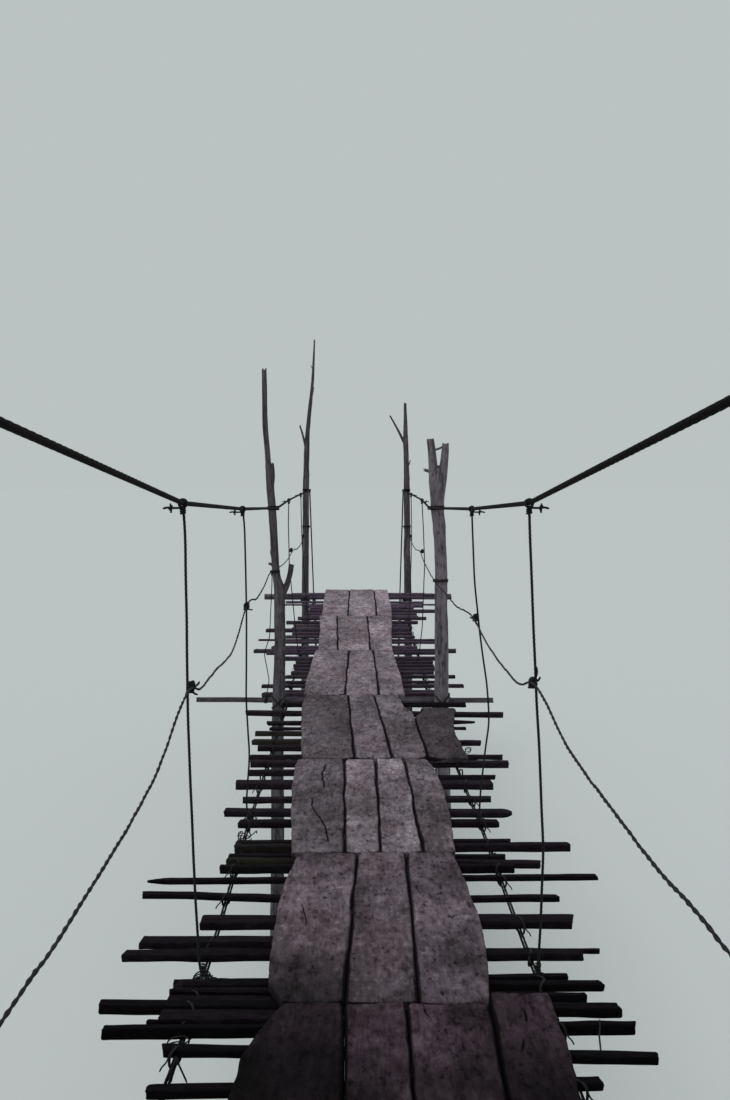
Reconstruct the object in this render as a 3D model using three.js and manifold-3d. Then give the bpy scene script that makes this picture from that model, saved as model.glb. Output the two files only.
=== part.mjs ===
// A rope suspension footbridge of six bays, in millimetres, +Z up.
// It runs along Y with its middle over the origin and its feet at Z = 0.
// Rough forked poles stand in three pairs. A hand cable, a side rope and a deck cable
// run down each side, joined by hangers. Split slats lie across the deck cables,
// and rows of worn planks lie lengthwise on the slats.

import * as THREE from "three";
import { mergeVertices } from "three/addons/utils/BufferGeometryUtils.js";
import Module from "manifold-3d";

const wasm = await Module();
wasm.setup();

// Clearance between pieces that bear on each other, and the allowance that a ring keeps
// for the slope of what it encircles
const gap = 0.3;
const lean = 0.4;

// Places along the bridge: two end pairs of poles, a middle pair, four pairs of hangers
const nearEnd = -6335;
const firstHanger = -4235;
const secondHanger = -2395;
const middle = 485;
const thirdHanger = 2435;
const fourthHanger = 4385;
const farEnd = 6335;
const bayEnds = [nearEnd, firstHanger, secondHanger, middle, thirdHanger, fourthHanger, farEnd];

// Deck cables: height of their axis at the middle, the rise towards both ends, and the
// distance out at each place along the bridge
const deckLow = 1600;
const deckRise = 4.4e-6;
const deckCableRadius = 8;
const deckCableX = {
  left: [-466, -457, -480, -480, -480, -480, -480],
  right: [515, 537, 545, 510, 510, 510, 510],
};

// Hand cables: height at each place along the bridge, and distance out at the hangers
const handCableRadius = 7.5;
const cableSides = 6;
const handCableHeight = {
  left: [3278, 3094, 3020, 2937, 2944, 2955, 2960],
  right: [3300, 3094, 3020, 2937, 2944, 2955, 2960],
};
const handCableX = {
  left: [-505, -500, -560, -550],
  right: [500, 503, 535, 530],
};

// Side ropes: height at each place, and at two points inside each bay
const sideRopeRadius = 3.5;
const ropeSides = 5;
const sideRopeHeight = {
  left: [2425, 2555, 2592, 2510, 2530, 2540, 2550],
  right: [2530, 2568, 2542, 2450, 2520, 2540, 2550],
};
const sideRopeInside = {
  left: [[2420, 2452], [2508, 2494], [2530, 2515], [2492, 2490], [2500, 2505], [2512, 2515]],
  right: [[2510, 2518], [2508, 2512], [2488, 2470], [2460, 2478], [2492, 2500], [2510, 2515]],
};

// Hangers, tie wire and lashings
const hangerRadius = 4;
const tieRadius = 3;
const tieAhead = 60;
const lashingRadius = 6;
const knotRadius = 13;
const clampBar = 52;

// Anchor posts beyond both ends
const anchorDistance = 2400;
const anchorX = 610;
const anchorHeight = 520;
const anchorRadius = 65;
const handCableTie = 360;
const deckCableTie = 170;

// Crossbeams: stout ones under the deck cables at both ends, a thin one on top of them
// at the middle. Their side of the poles, radius and reach
const crossbeams = [
  { name: "near_crossbeam", place: nearEnd, side: -1, radius: 33, left: -1100, right: 1100 },
  { name: "middle_crossbeam", place: middle, side: 1, radius: 15, left: -1090, right: 925 },
  { name: "far_crossbeam", place: farEnd, side: 1, radius: 33, left: -1060, right: 1080 },
];
const [nearBeam, middleBeam, farBeam] = crossbeams;

// Slats and planks
const slatSeat = 0.4;
const slatTop = 32;
const plankThickness = 28;
const plankSlit = 12;
const touchHalf = 0.025;
const lacingRadius = 4;
const lacingRise = 8;

// Poles: height, distance out and radius of each stage, then the branches and stubs
// as start, end and the two radii
const poles = {
  near_left_pole: {
    place: nearEnd,
    stages: [[0, -548, 52], [900, -543, 49], [1777, -541, 45], [2600, -541, 38],
      [3275, -540, 32], [3880, -552, 24], [3940, -553, 15]],
    limbs: [[[-545, 3330], [-622, 3560], 20, 14], [[-541, 2700], [-598, 2722], 15, 11]],
  },
  near_right_pole: {
    place: nearEnd,
    stages: [[0, 592, 54], [900, 584, 51], [1777, 577, 48], [2600, 560, 42],
      [3275, 549, 36], [3640, 545, 30], [3700, 545, 20]],
    limbs: [[[548, 3380], [488, 3590], 19, 13], [[556, 2760], [612, 2778], 15, 11]],
  },
  middle_left_pole: {
    place: middle,
    stages: [[0, -545, 47], [800, -540, 44], [1620, -531, 40], [2010, -518, 38],
      [2330, -517, 36], [2400, -518, 37], [2450, -540, 31], [2520, -550, 27],
      [2710, -556, 25], [2937, -567, 27], [3060, -579, 27], [3190, -583, 29],
      [3225, -588, 24], [3260, -597, 19], [3456, -611, 18], [3850, -614, 16]],
    limbs: [[[-500, 2370], [-434, 2565], 24, 15], [[-550, 2545], [-590, 2566], 12, 8]],
  },
  middle_right_pole: {
    place: middle,
    stages: [[0, 592, 54], [800, 585, 52], [1620, 571, 49], [1941, 567, 46],
      [2266, 568, 42], [2589, 561, 42], [2803, 551, 42], [2900, 536, 42],
      [2990, 534, 45], [3050, 536, 54], [3080, 537, 59], [3150, 539, 58], [3180, 541, 52]],
    limbs: [[[506, 3150], [487, 3392], 30, 28], [[574, 3150], [590, 3362], 30, 21],
      [[485, 3180], [450, 3190], 13, 10]],
  },
  far_left_pole: {
    place: farEnd,
    stages: [[0, -592, 48], [900, -592, 45], [1777, -590, 40], [2960, -578, 34],
      [3420, -568, 30], [3640, -557, 24], [4200, -500, 16], [4650, -477, 8]],
    limbs: [[[-570, 3390], [-645, 3690], 16, 9]],
  },
  far_right_pole: {
    place: farEnd,
    stages: [[0, 590, 48], [900, 585, 44], [1777, 578, 40], [2960, 566, 34],
      [3500, 552, 28], [3940, 545, 15]],
    limbs: [[[553, 3460], [375, 3800], 17, 8]],
  },
};

// Slats: distance from the bay's start, reach to the left and to the right, width,
// thickness, and turn in degrees
const firstBaySlats = [
  [110, 620, 640, 55, 20, 0], [265, 500, 700, 60, 32, 1], [420, 700, 580, 45, 20, -1],
  [590, 560, 620, 60, 24, 0], [755, 640, 720, 50, 22, 1], [920, 520, 600, 65, 24, 0],
  [1090, 600, 690, 50, 20, -0.5], [1345, 495, 583, 45, 22, 2], [1535, 495, 752, 36, 20, -1.8],
  [1684, 665, 734, 24, 32, 1.3], [1749, 565, 525, 22, 12, 0], [1828, 711, 717, 34, 26, -1.3],
  [1885, 530, -150, 300, 20, 0], [1919, 531, 643, 26, 32, -0.9], [1985, 500, 706, 30, 20, 0.3],
  [2035, 533, 620, 30, 20, 1.9],
];
const secondBaySlats = [
  [147, 719, 699, 46, 22, 0], [192, 495, 759, 22, 14, 0], [265, 687, 350, 55, 22, 0],
  [452, 519, 719, 80, 24, 0], [738, 768, 713, 42, 18, -1.2], [945, 777, 899, 26, 14, 1.6],
  [1061, 523, 598, 26, 32, 0], [1151, 509, 710, 34, 20, -2.4], [1249, 509, 588, 22, 12, -0.8],
  [1347, 495, 863, 24, 32, 1.1], [1432, 495, 631, 30, 18, 0.9], [1740, 514, 615, 50, 22, 0],
];
const thirdBaySlats = [
  [98, 597, 698, 60, 22, -0.7], [334, 538, 631, 34, 16, 0.4], [620, 598, 666, 70, 32, -0.6],
  [795, 300, 702, 24, 14, 0], [884, 555, 360, 24, 22, 0], [1108, 568, 803, 55, 32, 0],
  [1260, 581, 793, 28, 16, -0.5], [1491, 560, 560, 60, 20, 0], [1640, 601, 709, 42, 20, -2],
  [1895, 606, 540, 45, 20, 0], [2060, 530, 661, 25, 12, 0], [2220, 556, 737, 50, 18, 1.2],
  [2495, 717, 937, 60, 22, -2.5], [2795, 500, 724, 30, 32, 0],
];
const fourthBaySlats = [
  [145, 560, 640, 55, 26, 0], [285, 656, 640, 60, 32, 0], [420, 520, 600, 45, 22, 0],
  [635, 689, 772, 50, 24, 0], [800, 530, 610, 40, 20, 0], [1015, 540, 741, 45, 24, 0],
  [1180, 500, 590, 55, 28, 0.5], [1350, 490, 620, 60, 24, 0], [1500, 505, 610, 50, 24, 0],
  [1660, 490, 610, 50, 22, 0], [1815, 590, 690, 50, 32, 0],
];
const farBaySlats = [
  [85, 730, 760, 55, 26, 0], [172, 840, 870, 60, 32, 0], [345, 520, 730, 75, 30, 0],
  [655, 770, 720, 50, 22, -1], [800, 770, 885, 36, 15, 0], [945, 520, 700, 55, 24, 0],
  [1095, 500, 590, 60, 32, 0.5], [1290, 490, 850, 60, 32, 0], [1440, 505, 610, 50, 24, 0],
  [1600, 490, 610, 50, 22, 0], [1755, 590, 690, 50, 32, 0],
];

// The two last bays share one set of slats, mirrored or turned end for end
const shifted = (slats, by) => slats.map(([y, ...rest]) => [y + by, ...rest]);
const mirrored = (slats) => slats.map(([y, left, right, ...rest]) => [y, right, left, ...rest]);
const reversed = (slats, length) => slats.map(([y, ...rest]) => [length - y, ...rest]).reverse();
const lastBayLength = farEnd - fourthHanger;
const baySlats = [
  firstBaySlats,
  secondBaySlats,
  thirdBaySlats,
  fourthBaySlats,
  shifted(mirrored(farBaySlats), 70),
  shifted(reversed(farBaySlats, lastBayLength), -60),
];

// Plank rows: where each starts and ends, the edges and joints between its planks at
// both ends, the bulge of its outer edges, where neighbours touch, and how far each
// plank stops short of the row's far end
const plankRows = [
  { start: -6245, end: -4585, near: [-300, -25, 126, 296, 505], far: [-200, -35, 131, 358, 530],
    bulge: [-50, 10], touch: [0.4, 0.62, 0.35], short: [0, 0, 6, -70] },
  { start: -4575, end: -3095, near: [-240, -35, 171, 356], far: [-225, 0, 188, 360],
    bulge: [-34, 38], touch: [0.7, 0.45], short: [14, 0, 8] },
  { start: -3085, end: -1365, near: [-253, -47, 95, 262, 380], far: [-316, -68, 95, 246, 368],
    bulge: [-14, 34], touch: [0.42, 0.3, 0.55], short: [0, 8, 0, 10] },
  { start: -1355, end: 540, near: [-286, -14, 190, 375, 594], far: [-355, -62, 114, 345, 655],
    bulge: [-14, -50], touch: [0.6, 0.72, 0.5], short: [0, 5, 12, 480] },
  { start: 550, end: 2485, near: [-365, -82, 153, 324], far: [-343, -67, 134, 293],
    bulge: [-6, 8], touch: [0.35, 0.6], short: [0, 10, 0] },
  { start: 2495, end: 4435, near: [-326, -161, 113, 293], far: [-367, -198, 100, 347],
    bulge: [8, -6], touch: [0.5, 0.4], short: [8, 0, 6] },
  { start: 4445, end: 6245, near: [-347, -90, 198, 347], far: [-350, -85, 190, 340],
    bulge: [-5, 5], touch: [0.45, 0.65], short: [0, 0, 10] },
];

// Colours and finishes
const finish = {
  plank: new THREE.MeshStandardMaterial({ color: 0x6f6a70, roughness: 0.9, metalness: 0 }),
  slat: new THREE.MeshStandardMaterial({ color: 0x2b272c, roughness: 0.92, metalness: 0 }),
  bark: new THREE.MeshStandardMaterial({ color: 0x4a4248, roughness: 0.95, metalness: 0 }),
  cable: new THREE.MeshStandardMaterial({ color: 0x1c1d20, roughness: 0.6, metalness: 0.7 }),
  wire: new THREE.MeshStandardMaterial({ color: 0x232629, roughness: 0.65, metalness: 0.6 }),
  rope: new THREE.MeshStandardMaterial({ color: 0x59605f, roughness: 0.9, metalness: 0 }),
};

const bridge = new THREE.Group();
bridge.name = "rope_suspension_footbridge";

// Solids and booleans

function solidOf(geometry) {
  const bare = new THREE.BufferGeometry();
  const source = geometry.index ? geometry.toNonIndexed() : geometry;
  bare.setAttribute("position", source.getAttribute("position"));
  const merged = mergeVertices(bare, 1e-3);
  const corners = [];
  for (let i = 0; i < merged.index.count; i += 3) {
    const [a, b, c] = [0, 1, 2].map((k) => merged.index.getX(i + k));
    if (a !== b && b !== c && c !== a) corners.push(a, b, c);
  }
  const vertProperties = merged.attributes.position.array;
  const solid = new wasm.Manifold(
    new wasm.Mesh({ numProp: 3, vertProperties, triVerts: new Uint32Array(corners) }),
  );
  if (solid.volume() > 0) return solid;
  const turned = new Uint32Array(corners.reverse());
  return new wasm.Manifold(new wasm.Mesh({ numProp: 3, vertProperties, triVerts: turned }));
}

function joined(solids) {
  return solids.reduce((whole, piece) => whole.add(piece));
}

function addNode(name, solid, material) {
  const mesh = solid.getMesh();
  const geometry = new THREE.BufferGeometry();
  geometry.setAttribute("position", new THREE.BufferAttribute(mesh.vertProperties, 3));
  geometry.setIndex(new THREE.BufferAttribute(mesh.triVerts, 1));
  geometry.computeVertexNormals();
  const node = new THREE.Mesh(geometry, material);
  node.name = name;
  bridge.add(node);
}

// A route of straight stretches, so that each step of a tube falls on one of its points
class Route extends THREE.Curve {
  constructor(points) {
    super();
    this.points = points;
  }

  getPoint(share, target = new THREE.Vector3()) {
    const along = share * (this.points.length - 1);
    const i = Math.min(Math.floor(along), this.points.length - 2);
    return target.lerpVectors(this.points[i], this.points[i + 1], along - i);
  }

  getPointAt(share, target) {
    return this.getPoint(share, target);
  }

  getTangentAt(share, target) {
    return this.getTangent(share, target);
  }

  // The point where the route passes a place along the bridge
  at(y) {
    const i = this.points.findIndex((point, k) => k > 0 && point.y >= y);
    const [a, b] = [this.points[i - 1], this.points[i]];
    return new THREE.Vector3().lerpVectors(a, b, (y - a.y) / (b.y - a.y));
  }
}

// A polygon with a corner at its top and bottom once it is swept along the bridge
function section(radius, sides) {
  const corners = [];
  for (let k = 0; k < sides; k += 1) {
    const angle = Math.PI / 2 + (k * 2 * Math.PI) / sides;
    corners.push(new THREE.Vector2(radius * Math.cos(angle), radius * Math.sin(angle)));
  }
  return new THREE.Shape(corners);
}

function tube(route, radius, sides) {
  return solidOf(
    new THREE.ExtrudeGeometry(section(radius, sides), {
      steps: route.points.length - 1,
      extrudePath: route,
    }),
  );
}

// A round bar between two points, thicker at one end where the radii differ
function bar(from, to, fromRadius, toRadius, sides) {
  const along = new THREE.Vector3().subVectors(to, from);
  const geometry = new THREE.CylinderGeometry(toRadius, fromRadius, along.length(), sides);
  const turn = new THREE.Quaternion().setFromUnitVectors(
    new THREE.Vector3(0, 1, 0),
    along.clone().normalize(),
  );
  geometry.applyQuaternion(turn);
  const centre = new THREE.Vector3().addVectors(from, to).multiplyScalar(0.5);
  geometry.translate(centre.x, centre.y, centre.z);
  return solidOf(geometry);
}

// A closed ring that clears a round bar of the given radius on its flats as well
function ring(centre, axis, enclosed, wire, sides) {
  const inner = (enclosed + gap + lean) / Math.cos(Math.PI / sides);
  const profile = [
    new THREE.Vector2(inner, -wire),
    new THREE.Vector2(inner + 2 * wire, -wire),
    new THREE.Vector2(inner + 2 * wire, wire),
    new THREE.Vector2(inner, wire),
    new THREE.Vector2(inner, -wire),
  ];
  const geometry = new THREE.LatheGeometry(profile, sides);
  geometry.applyQuaternion(
    new THREE.Quaternion().setFromUnitVectors(new THREE.Vector3(0, 1, 0), axis),
  );
  geometry.translate(centre.x, centre.y, centre.z);
  return solidOf(geometry);
}

function knot(centre, radius, tall) {
  const geometry = new THREE.SphereGeometry(radius, 6, 4);
  geometry.rotateX(Math.PI / 2);
  geometry.scale(1, 1, tall);
  geometry.translate(centre.x, centre.y, centre.z);
  return solidOf(geometry);
}

const upward = new THREE.Vector3(0, 0, 1);
const forward = new THREE.Vector3(0, 1, 0);
const sideways = new THREE.Vector3(1, 0, 0);

// Poles

function poleAt(pole, height) {
  const i = pole.stages.findIndex((stage, k) => k > 0 && stage[0] >= height);
  const [low, high] = [pole.stages[i - 1], pole.stages[i]];
  const share = (height - low[0]) / (high[0] - low[0]);
  return {
    x: THREE.MathUtils.lerp(low[1], high[1], share),
    radius: THREE.MathUtils.lerp(low[2], high[2], share),
  };
}

// The trunk is a turned profile whose stages are then shifted sideways
function poleSolid(pole) {
  const first = pole.stages[0];
  const last = pole.stages[pole.stages.length - 1];
  const profile = [
    new THREE.Vector2(0, first[0]),
    ...pole.stages.map(([z, , radius]) => new THREE.Vector2(radius, z)),
    new THREE.Vector2(0, last[0]),
  ];
  const geometry = new THREE.LatheGeometry(profile, 10);
  geometry.rotateX(Math.PI / 2);
  const position = geometry.getAttribute("position");
  for (let i = 0; i < position.count; i += 1) {
    const height = Math.min(Math.max(position.getZ(i), 0), last[0]);
    position.setX(i, position.getX(i) + poleAt(pole, height).x);
    position.setY(i, position.getY(i) + pole.place);
  }
  const limbs = pole.limbs.map(([from, to, fromRadius, toRadius]) =>
    bar(
      new THREE.Vector3(from[0], pole.place, from[1]),
      new THREE.Vector3(to[0], pole.place, to[1]),
      fromRadius,
      toRadius,
      7,
    ),
  );
  return joined([solidOf(geometry), ...limbs]);
}

const polesOf = (side) => [
  poles[`near_${side}_pole`],
  poles[`middle_${side}_pole`],
  poles[`far_${side}_pole`],
];

// Cables and ropes

const deckHeight = (y) => deckLow + deckRise * y * y;

function deckPoint(side, y, height) {
  const k = Math.max(bayEnds.findIndex((end, n) => n > 0 && end >= y), 1);
  const share = (y - bayEnds[k - 1]) / (bayEnds[k] - bayEnds[k - 1]);
  const x = THREE.MathUtils.lerp(deckCableX[side][k - 1], deckCableX[side][k], share);
  return new THREE.Vector3(x, y, height);
}

function crossbeamAxis(beam) {
  const reach = Object.values(poles)
    .filter((pole) => pole.place === beam.place)
    .map((pole) => poleAt(pole, deckHeight(beam.place)).radius);
  const y = beam.place + beam.side * (Math.max(...reach) + beam.radius + gap);
  const level = beam === middleBeam ? 1 : -1;
  const z = deckHeight(y) + level * (deckCableRadius + gap + beam.radius);
  return { y, z };
}

const inward = (side) => (side === "left" ? 1 : -1);

// The cable's own distance out where it passes the inner face of a pole
function besidePole(pole, height, radius, side) {
  const { x, radius: poleRadius } = poleAt(pole, height);
  return x + inward(side) * (poleRadius + gap + radius);
}

function anchorPoint(side, end, height, radius) {
  const x = -inward(side) * anchorX + inward(side) * (anchorRadius + gap + radius);
  return new THREE.Vector3(x, end + Math.sign(end) * anchorDistance, height);
}

function smoothed(points, stepsEach) {
  const curve = new THREE.CatmullRomCurve3(points, false, "centripetal");
  return curve.getPoints((points.length - 1) * stepsEach);
}

// The deck cable bends down over an end crossbeam to its anchor post
function overBeam(side, beam, anchor) {
  const { x } = deckPoint(side, beam.place, 0);
  const { y, z } = crossbeamAxis(beam);
  const radius = beam.radius + deckCableRadius + gap + lean;
  const fall = Math.atan2(z - anchor.z, Math.abs(anchor.y - y));
  const bend = [0, 1 / 3, 2 / 3, 1].map((share) => {
    const angle = share * fall;
    const ahead = beam.side * radius * Math.sin(angle);
    return new THREE.Vector3(x, y + ahead, z + radius * Math.cos(angle));
  });
  return [...bend, anchor];
}

function deckRoute(side) {
  const nearAnchor = anchorPoint(side, nearEnd, deckCableTie, deckCableRadius);
  const farAnchor = anchorPoint(side, farEnd, deckCableTie, deckCableRadius);
  const steps = 32;
  const points = overBeam(side, nearBeam, nearAnchor).reverse();
  for (let k = 0; k <= steps; k += 1) {
    const y = THREE.MathUtils.lerp(nearEnd, farEnd, k / steps);
    points.push(deckPoint(side, y, deckHeight(y)));
  }
  points.push(...overBeam(side, farBeam, farAnchor));
  return new Route(points);
}

function handRoute(side) {
  const hangerPlaces = [firstHanger, secondHanger, thirdHanger, fourthHanger];
  const stops = bayEnds.map((y, k) => {
    const height = handCableHeight[side][k];
    const pole = polesOf(side).find(({ place }) => place === y);
    const x = pole
      ? besidePole(pole, height, handCableRadius, side)
      : handCableX[side][hangerPlaces.indexOf(y)];
    return new THREE.Vector3(x, y, height);
  });
  return new Route([
    anchorPoint(side, nearEnd, handCableTie, handCableRadius),
    ...stops,
    anchorPoint(side, farEnd, handCableTie, handCableRadius),
  ]);
}

// The side rope runs past the outer face of the middle left pole, and past the inner
// face of the others
function sideRoute(side, hangerLine) {
  const stops = [];
  bayEnds.forEach((y, k) => {
    const height = sideRopeHeight[side][k];
    const pole = polesOf(side).find(({ place }) => place === y);
    let x = hangerLine(y, height) + inward(side) * (hangerRadius + gap + sideRopeRadius);
    if (pole) {
      const face = pole === poles.middle_left_pole ? -1 : 1;
      const { x: centre, radius } = poleAt(pole, height);
      x = centre + face * inward(side) * (radius + gap + sideRopeRadius);
    }
    stops.push(new THREE.Vector3(x, y, height));
  });
  const points = [];
  stops.forEach((stop, k) => {
    points.push(stop);
    if (k === stops.length - 1) return;
    sideRopeInside[side][k].forEach((height, n) => {
      const point = new THREE.Vector3().lerpVectors(stop, stops[k + 1], (n + 1) / 3);
      point.z = height;
      points.push(point);
    });
  });
  return new Route(smoothed(points, 2));
}

function lashedTo(pole, point, cableRadius) {
  const { x, radius } = poleAt(pole, point.z);
  const centre = new THREE.Vector3(x, pole.place, point.z);
  return ring(centre, upward, radius, Math.min(lashingRadius, cableRadius) * 0.8, 8);
}

function lineOf(side) {
  const deck = deckRoute(side);
  const hand = handRoute(side);
  const hangerLine = (y, height) => {
    const [top, foot] = [hand.at(y), deck.at(y)];
    return THREE.MathUtils.mapLinear(height, foot.z, top.z, foot.x, top.x);
  };
  return { deck, hand, rope: sideRoute(side, hangerLine) };
}

const lines = { left: lineOf("left"), right: lineOf("right") };

for (const side of ["left", "right"]) {
  const { deck, hand, rope } = lines[side];
  const sidePoles = polesOf(side);
  const postX = -inward(side) * anchorX;
  const endRings = (height, wire) =>
    [nearEnd, farEnd].map((end) => {
      const y = end + Math.sign(end) * anchorDistance;
      const centre = new THREE.Vector3(postX, y, height);
      return ring(centre, upward, anchorRadius, wire, 10);
    });

  const handLashings = sidePoles.map((pole) =>
    lashedTo(pole, hand.at(pole.place), handCableRadius),
  );
  const handCable = joined([
    tube(hand, handCableRadius, cableSides),
    ...handLashings,
    ...endRings(handCableTie, handCableRadius - 1),
  ]);
  addNode(`${side}_hand_cable`, handCable, finish.cable);

  const ropeTies = sidePoles.map((pole) => lashedTo(pole, rope.at(pole.place), sideRopeRadius));
  const sideRope = joined([tube(rope, sideRopeRadius, ropeSides), ...ropeTies]);
  addNode(`${side}_side_rope`, sideRope, finish.rope);

  const deckCable = joined([
    tube(deck, deckCableRadius, cableSides),
    ...endRings(deckCableTie, deckCableRadius - 1),
  ]);
  addNode(`${side}_deck_cable`, deckCable, finish.cable);
}

// Hangers: a loop round the hand cable with its short clamp bar, a knot round the side
// rope, and a loop round the deck cable

function hangerSolid(side, y) {
  const { deck, hand, rope } = lines[side];
  const top = hand.at(y);
  const foot = deck.at(y);
  const tied = rope.at(y);
  const out = -inward(side);
  const topLoop = ring(top, forward, handCableRadius, hangerRadius * 0.8, 8);
  const footLoop = ring(foot, forward, deckCableRadius, hangerRadius * 0.8, 8);
  const rodTop = top.clone().add(new THREE.Vector3(0, 0, -handCableRadius - hangerRadius));
  const rodFoot = foot.clone().add(new THREE.Vector3(0, 0, deckCableRadius + hangerRadius));
  const rod = bar(rodFoot, rodTop, hangerRadius, hangerRadius, 5);
  const clampHeight = top.z - handCableRadius - hangerRadius;
  const clampStart = new THREE.Vector3(top.x, y, clampHeight);
  const clampEnd = new THREE.Vector3(top.x + out * clampBar, y, clampHeight - 4);
  const clamp = bar(clampStart, clampEnd, hangerRadius, hangerRadius - 1, 5);
  const middleKnot = knot(tied, knotRadius, 1.3);
  return joined([topLoop, footLoop, rod, clamp, middleKnot])
    .subtract(tube(hand, handCableRadius + gap, cableSides))
    .subtract(tube(deck, deckCableRadius + gap, cableSides))
    .subtract(tube(rope, sideRopeRadius + gap, ropeSides));
}

for (const side of ["left", "right"]) {
  [firstHanger, secondHanger, thirdHanger, fourthHanger].forEach((y, k) => {
    addNode(`${side}_hanger_${k + 1}`, hangerSolid(side, y), finish.wire);
  });
}

// A kinked tie wire from the side rope at the middle left pole to the crossbeam's end

function tieWireSolid() {
  const rope = lines.left.rope.at(middle + tieAhead);
  const beam = crossbeamAxis(middleBeam);
  const beamX = -618;
  const points = [
    new THREE.Vector3(rope.x, rope.y, rope.z - sideRopeRadius),
    new THREE.Vector3(-592, rope.y + 4, 2060),
    new THREE.Vector3(-630, rope.y + 4, 1950),
    new THREE.Vector3(-596, beam.y, 1765),
    new THREE.Vector3(beamX, beam.y, beam.z + middleBeam.radius + tieRadius),
  ];
  const ropeLoop = ring(rope, forward, sideRopeRadius, tieRadius * 0.8, 8);
  const beamCentre = new THREE.Vector3(beamX, beam.y, beam.z);
  const beamLoop = ring(beamCentre, sideways, middleBeam.radius, tieRadius * 0.8, 10);
  return joined([ropeLoop, beamLoop, tube(new Route(points), tieRadius, ropeSides)]);
}

addNode("left_tie_wire", tieWireSolid(), finish.wire);

for (const [name, pole] of Object.entries(poles)) {
  addNode(name, poleSolid(pole), finish.bark);
}

// Crossbeams, each with a lashing round both poles

for (const beam of crossbeams) {
  const { y, z } = crossbeamAxis(beam);
  const log = bar(
    new THREE.Vector3(beam.left, y, z),
    new THREE.Vector3(beam.right, y, z),
    beam.radius,
    beam.radius,
    10,
  );
  const pair = Object.values(poles).filter((pole) => pole.place === beam.place);
  const lashings = pair.map((pole) => {
    const { x, radius } = poleAt(pole, z);
    return ring(new THREE.Vector3(x, pole.place, z), upward, radius, lashingRadius, 8);
  });
  addNode(beam.name, joined([log, ...lashings]), finish.bark);
}

// Anchor posts

for (const [end, place] of [["near", nearEnd], ["far", farEnd]]) {
  for (const side of ["left", "right"]) {
    const profile = [
      new THREE.Vector2(0, 0),
      new THREE.Vector2(anchorRadius, 0),
      new THREE.Vector2(anchorRadius, anchorHeight - 40),
      new THREE.Vector2(anchorRadius - 12, anchorHeight),
      new THREE.Vector2(0, anchorHeight),
    ];
    const geometry = new THREE.LatheGeometry(profile, 12);
    geometry.rotateX(Math.PI / 2);
    const y = place + Math.sign(place) * anchorDistance;
    geometry.translate(-inward(side) * anchorX, y, 0);
    addNode(`${end}_${side}_anchor_post`, solidOf(geometry), finish.bark);
  }
}

// Deck

// Height of the slats' undersides, and the deck's slope, at a place along the bridge
const slatFoot = (y) => deckHeight(y) + deckCableRadius + slatSeat;
const deckSlope = (y) => Math.atan(2 * deckRise * y);

function slatSolid(y, [, left, right, width, thickness, turn]) {
  const shape = new THREE.Shape([
    new THREE.Vector2(-left, -width / 2),
    new THREE.Vector2(right, -width / 2),
    new THREE.Vector2(right - width * 0.2, width / 2),
    new THREE.Vector2(-left + width * 0.12, width / 2),
  ]);
  const geometry = new THREE.ExtrudeGeometry(shape, { depth: thickness, bevelEnabled: false });
  geometry.rotateZ(THREE.MathUtils.degToRad(turn));
  geometry.rotateX(deckSlope(y));
  geometry.translate(0, y, slatFoot(y));
  return solidOf(geometry);
}

// Slats of one bay, threaded on the two lacings that bind them to the deck cables
function matSolid(start, slats) {
  const places = slats.map((slat) => start + slat[0]);
  const pieces = slats.map((slat, k) => slatSolid(places[k], slat));
  const first = places[0];
  const last = places[places.length - 1];
  const steps = 6;
  const lacings = ["left", "right"].map((side) => {
    const points = [];
    for (let k = 0; k <= steps; k += 1) {
      const y = THREE.MathUtils.lerp(first, last, k / steps);
      points.push(deckPoint(side, y, slatFoot(y) + lacingRise));
    }
    return tube(new Route(points), lacingRadius, 4);
  });
  return joined([...pieces, ...lacings]);
}

bayEnds.slice(0, -1).forEach((start, k) => {
  addNode(`slats_bay_${k + 1}`, matSolid(start, baySlats[k]), finish.slat);
});

// Outline of a plank row, as seen from above, measured from its start
function rowOutline(row) {
  const length = row.end - row.start;
  const planks = row.near.length - 1;
  const joint = (k, share) =>
    new THREE.Vector2(THREE.MathUtils.lerp(row.near[k], row.far[k], share), share * length);
  const points = [];
  for (let k = 0; k < planks; k += 1) {
    const left = row.near[k] + (k > 0 ? plankSlit / 2 : 0);
    const right = row.near[k + 1] - (k < planks - 1 ? plankSlit / 2 : 0);
    points.push(new THREE.Vector2(left, 0), new THREE.Vector2(right, 0));
    if (k < planks - 1) points.push(joint(k + 1, row.touch[k] - touchHalf));
  }
  const rightBulge = joint(planks, 0.45);
  rightBulge.x += row.bulge[1];
  points.push(rightBulge);
  for (let k = planks - 1; k >= 0; k -= 1) {
    const end = length - row.short[k];
    const right = row.far[k + 1] - (k < planks - 1 ? plankSlit / 2 : 0);
    const left = row.far[k] + (k > 0 ? plankSlit / 2 : 0);
    points.push(new THREE.Vector2(right, end), new THREE.Vector2(left, end));
    if (k > 0) points.push(joint(k, row.touch[k - 1] + touchHalf));
  }
  const leftBulge = joint(0, 0.55);
  leftBulge.x += row.bulge[0];
  points.push(leftBulge);
  return new THREE.Shape(points);
}

// The thickest slats carry the planks: the first and the last of them under a row
function bearersOf(row) {
  const margin = 35;
  const places = baySlats
    .flatMap((slats, k) => slats.map((slat) => [bayEnds[k] + slat[0], slat[4]]))
    .filter(([y, thickness]) => {
      return thickness === slatTop && y > row.start && y < row.end + margin;
    })
    .map(([y]) => y);
  return [Math.min(...places), Math.max(...places)];
}

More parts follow.
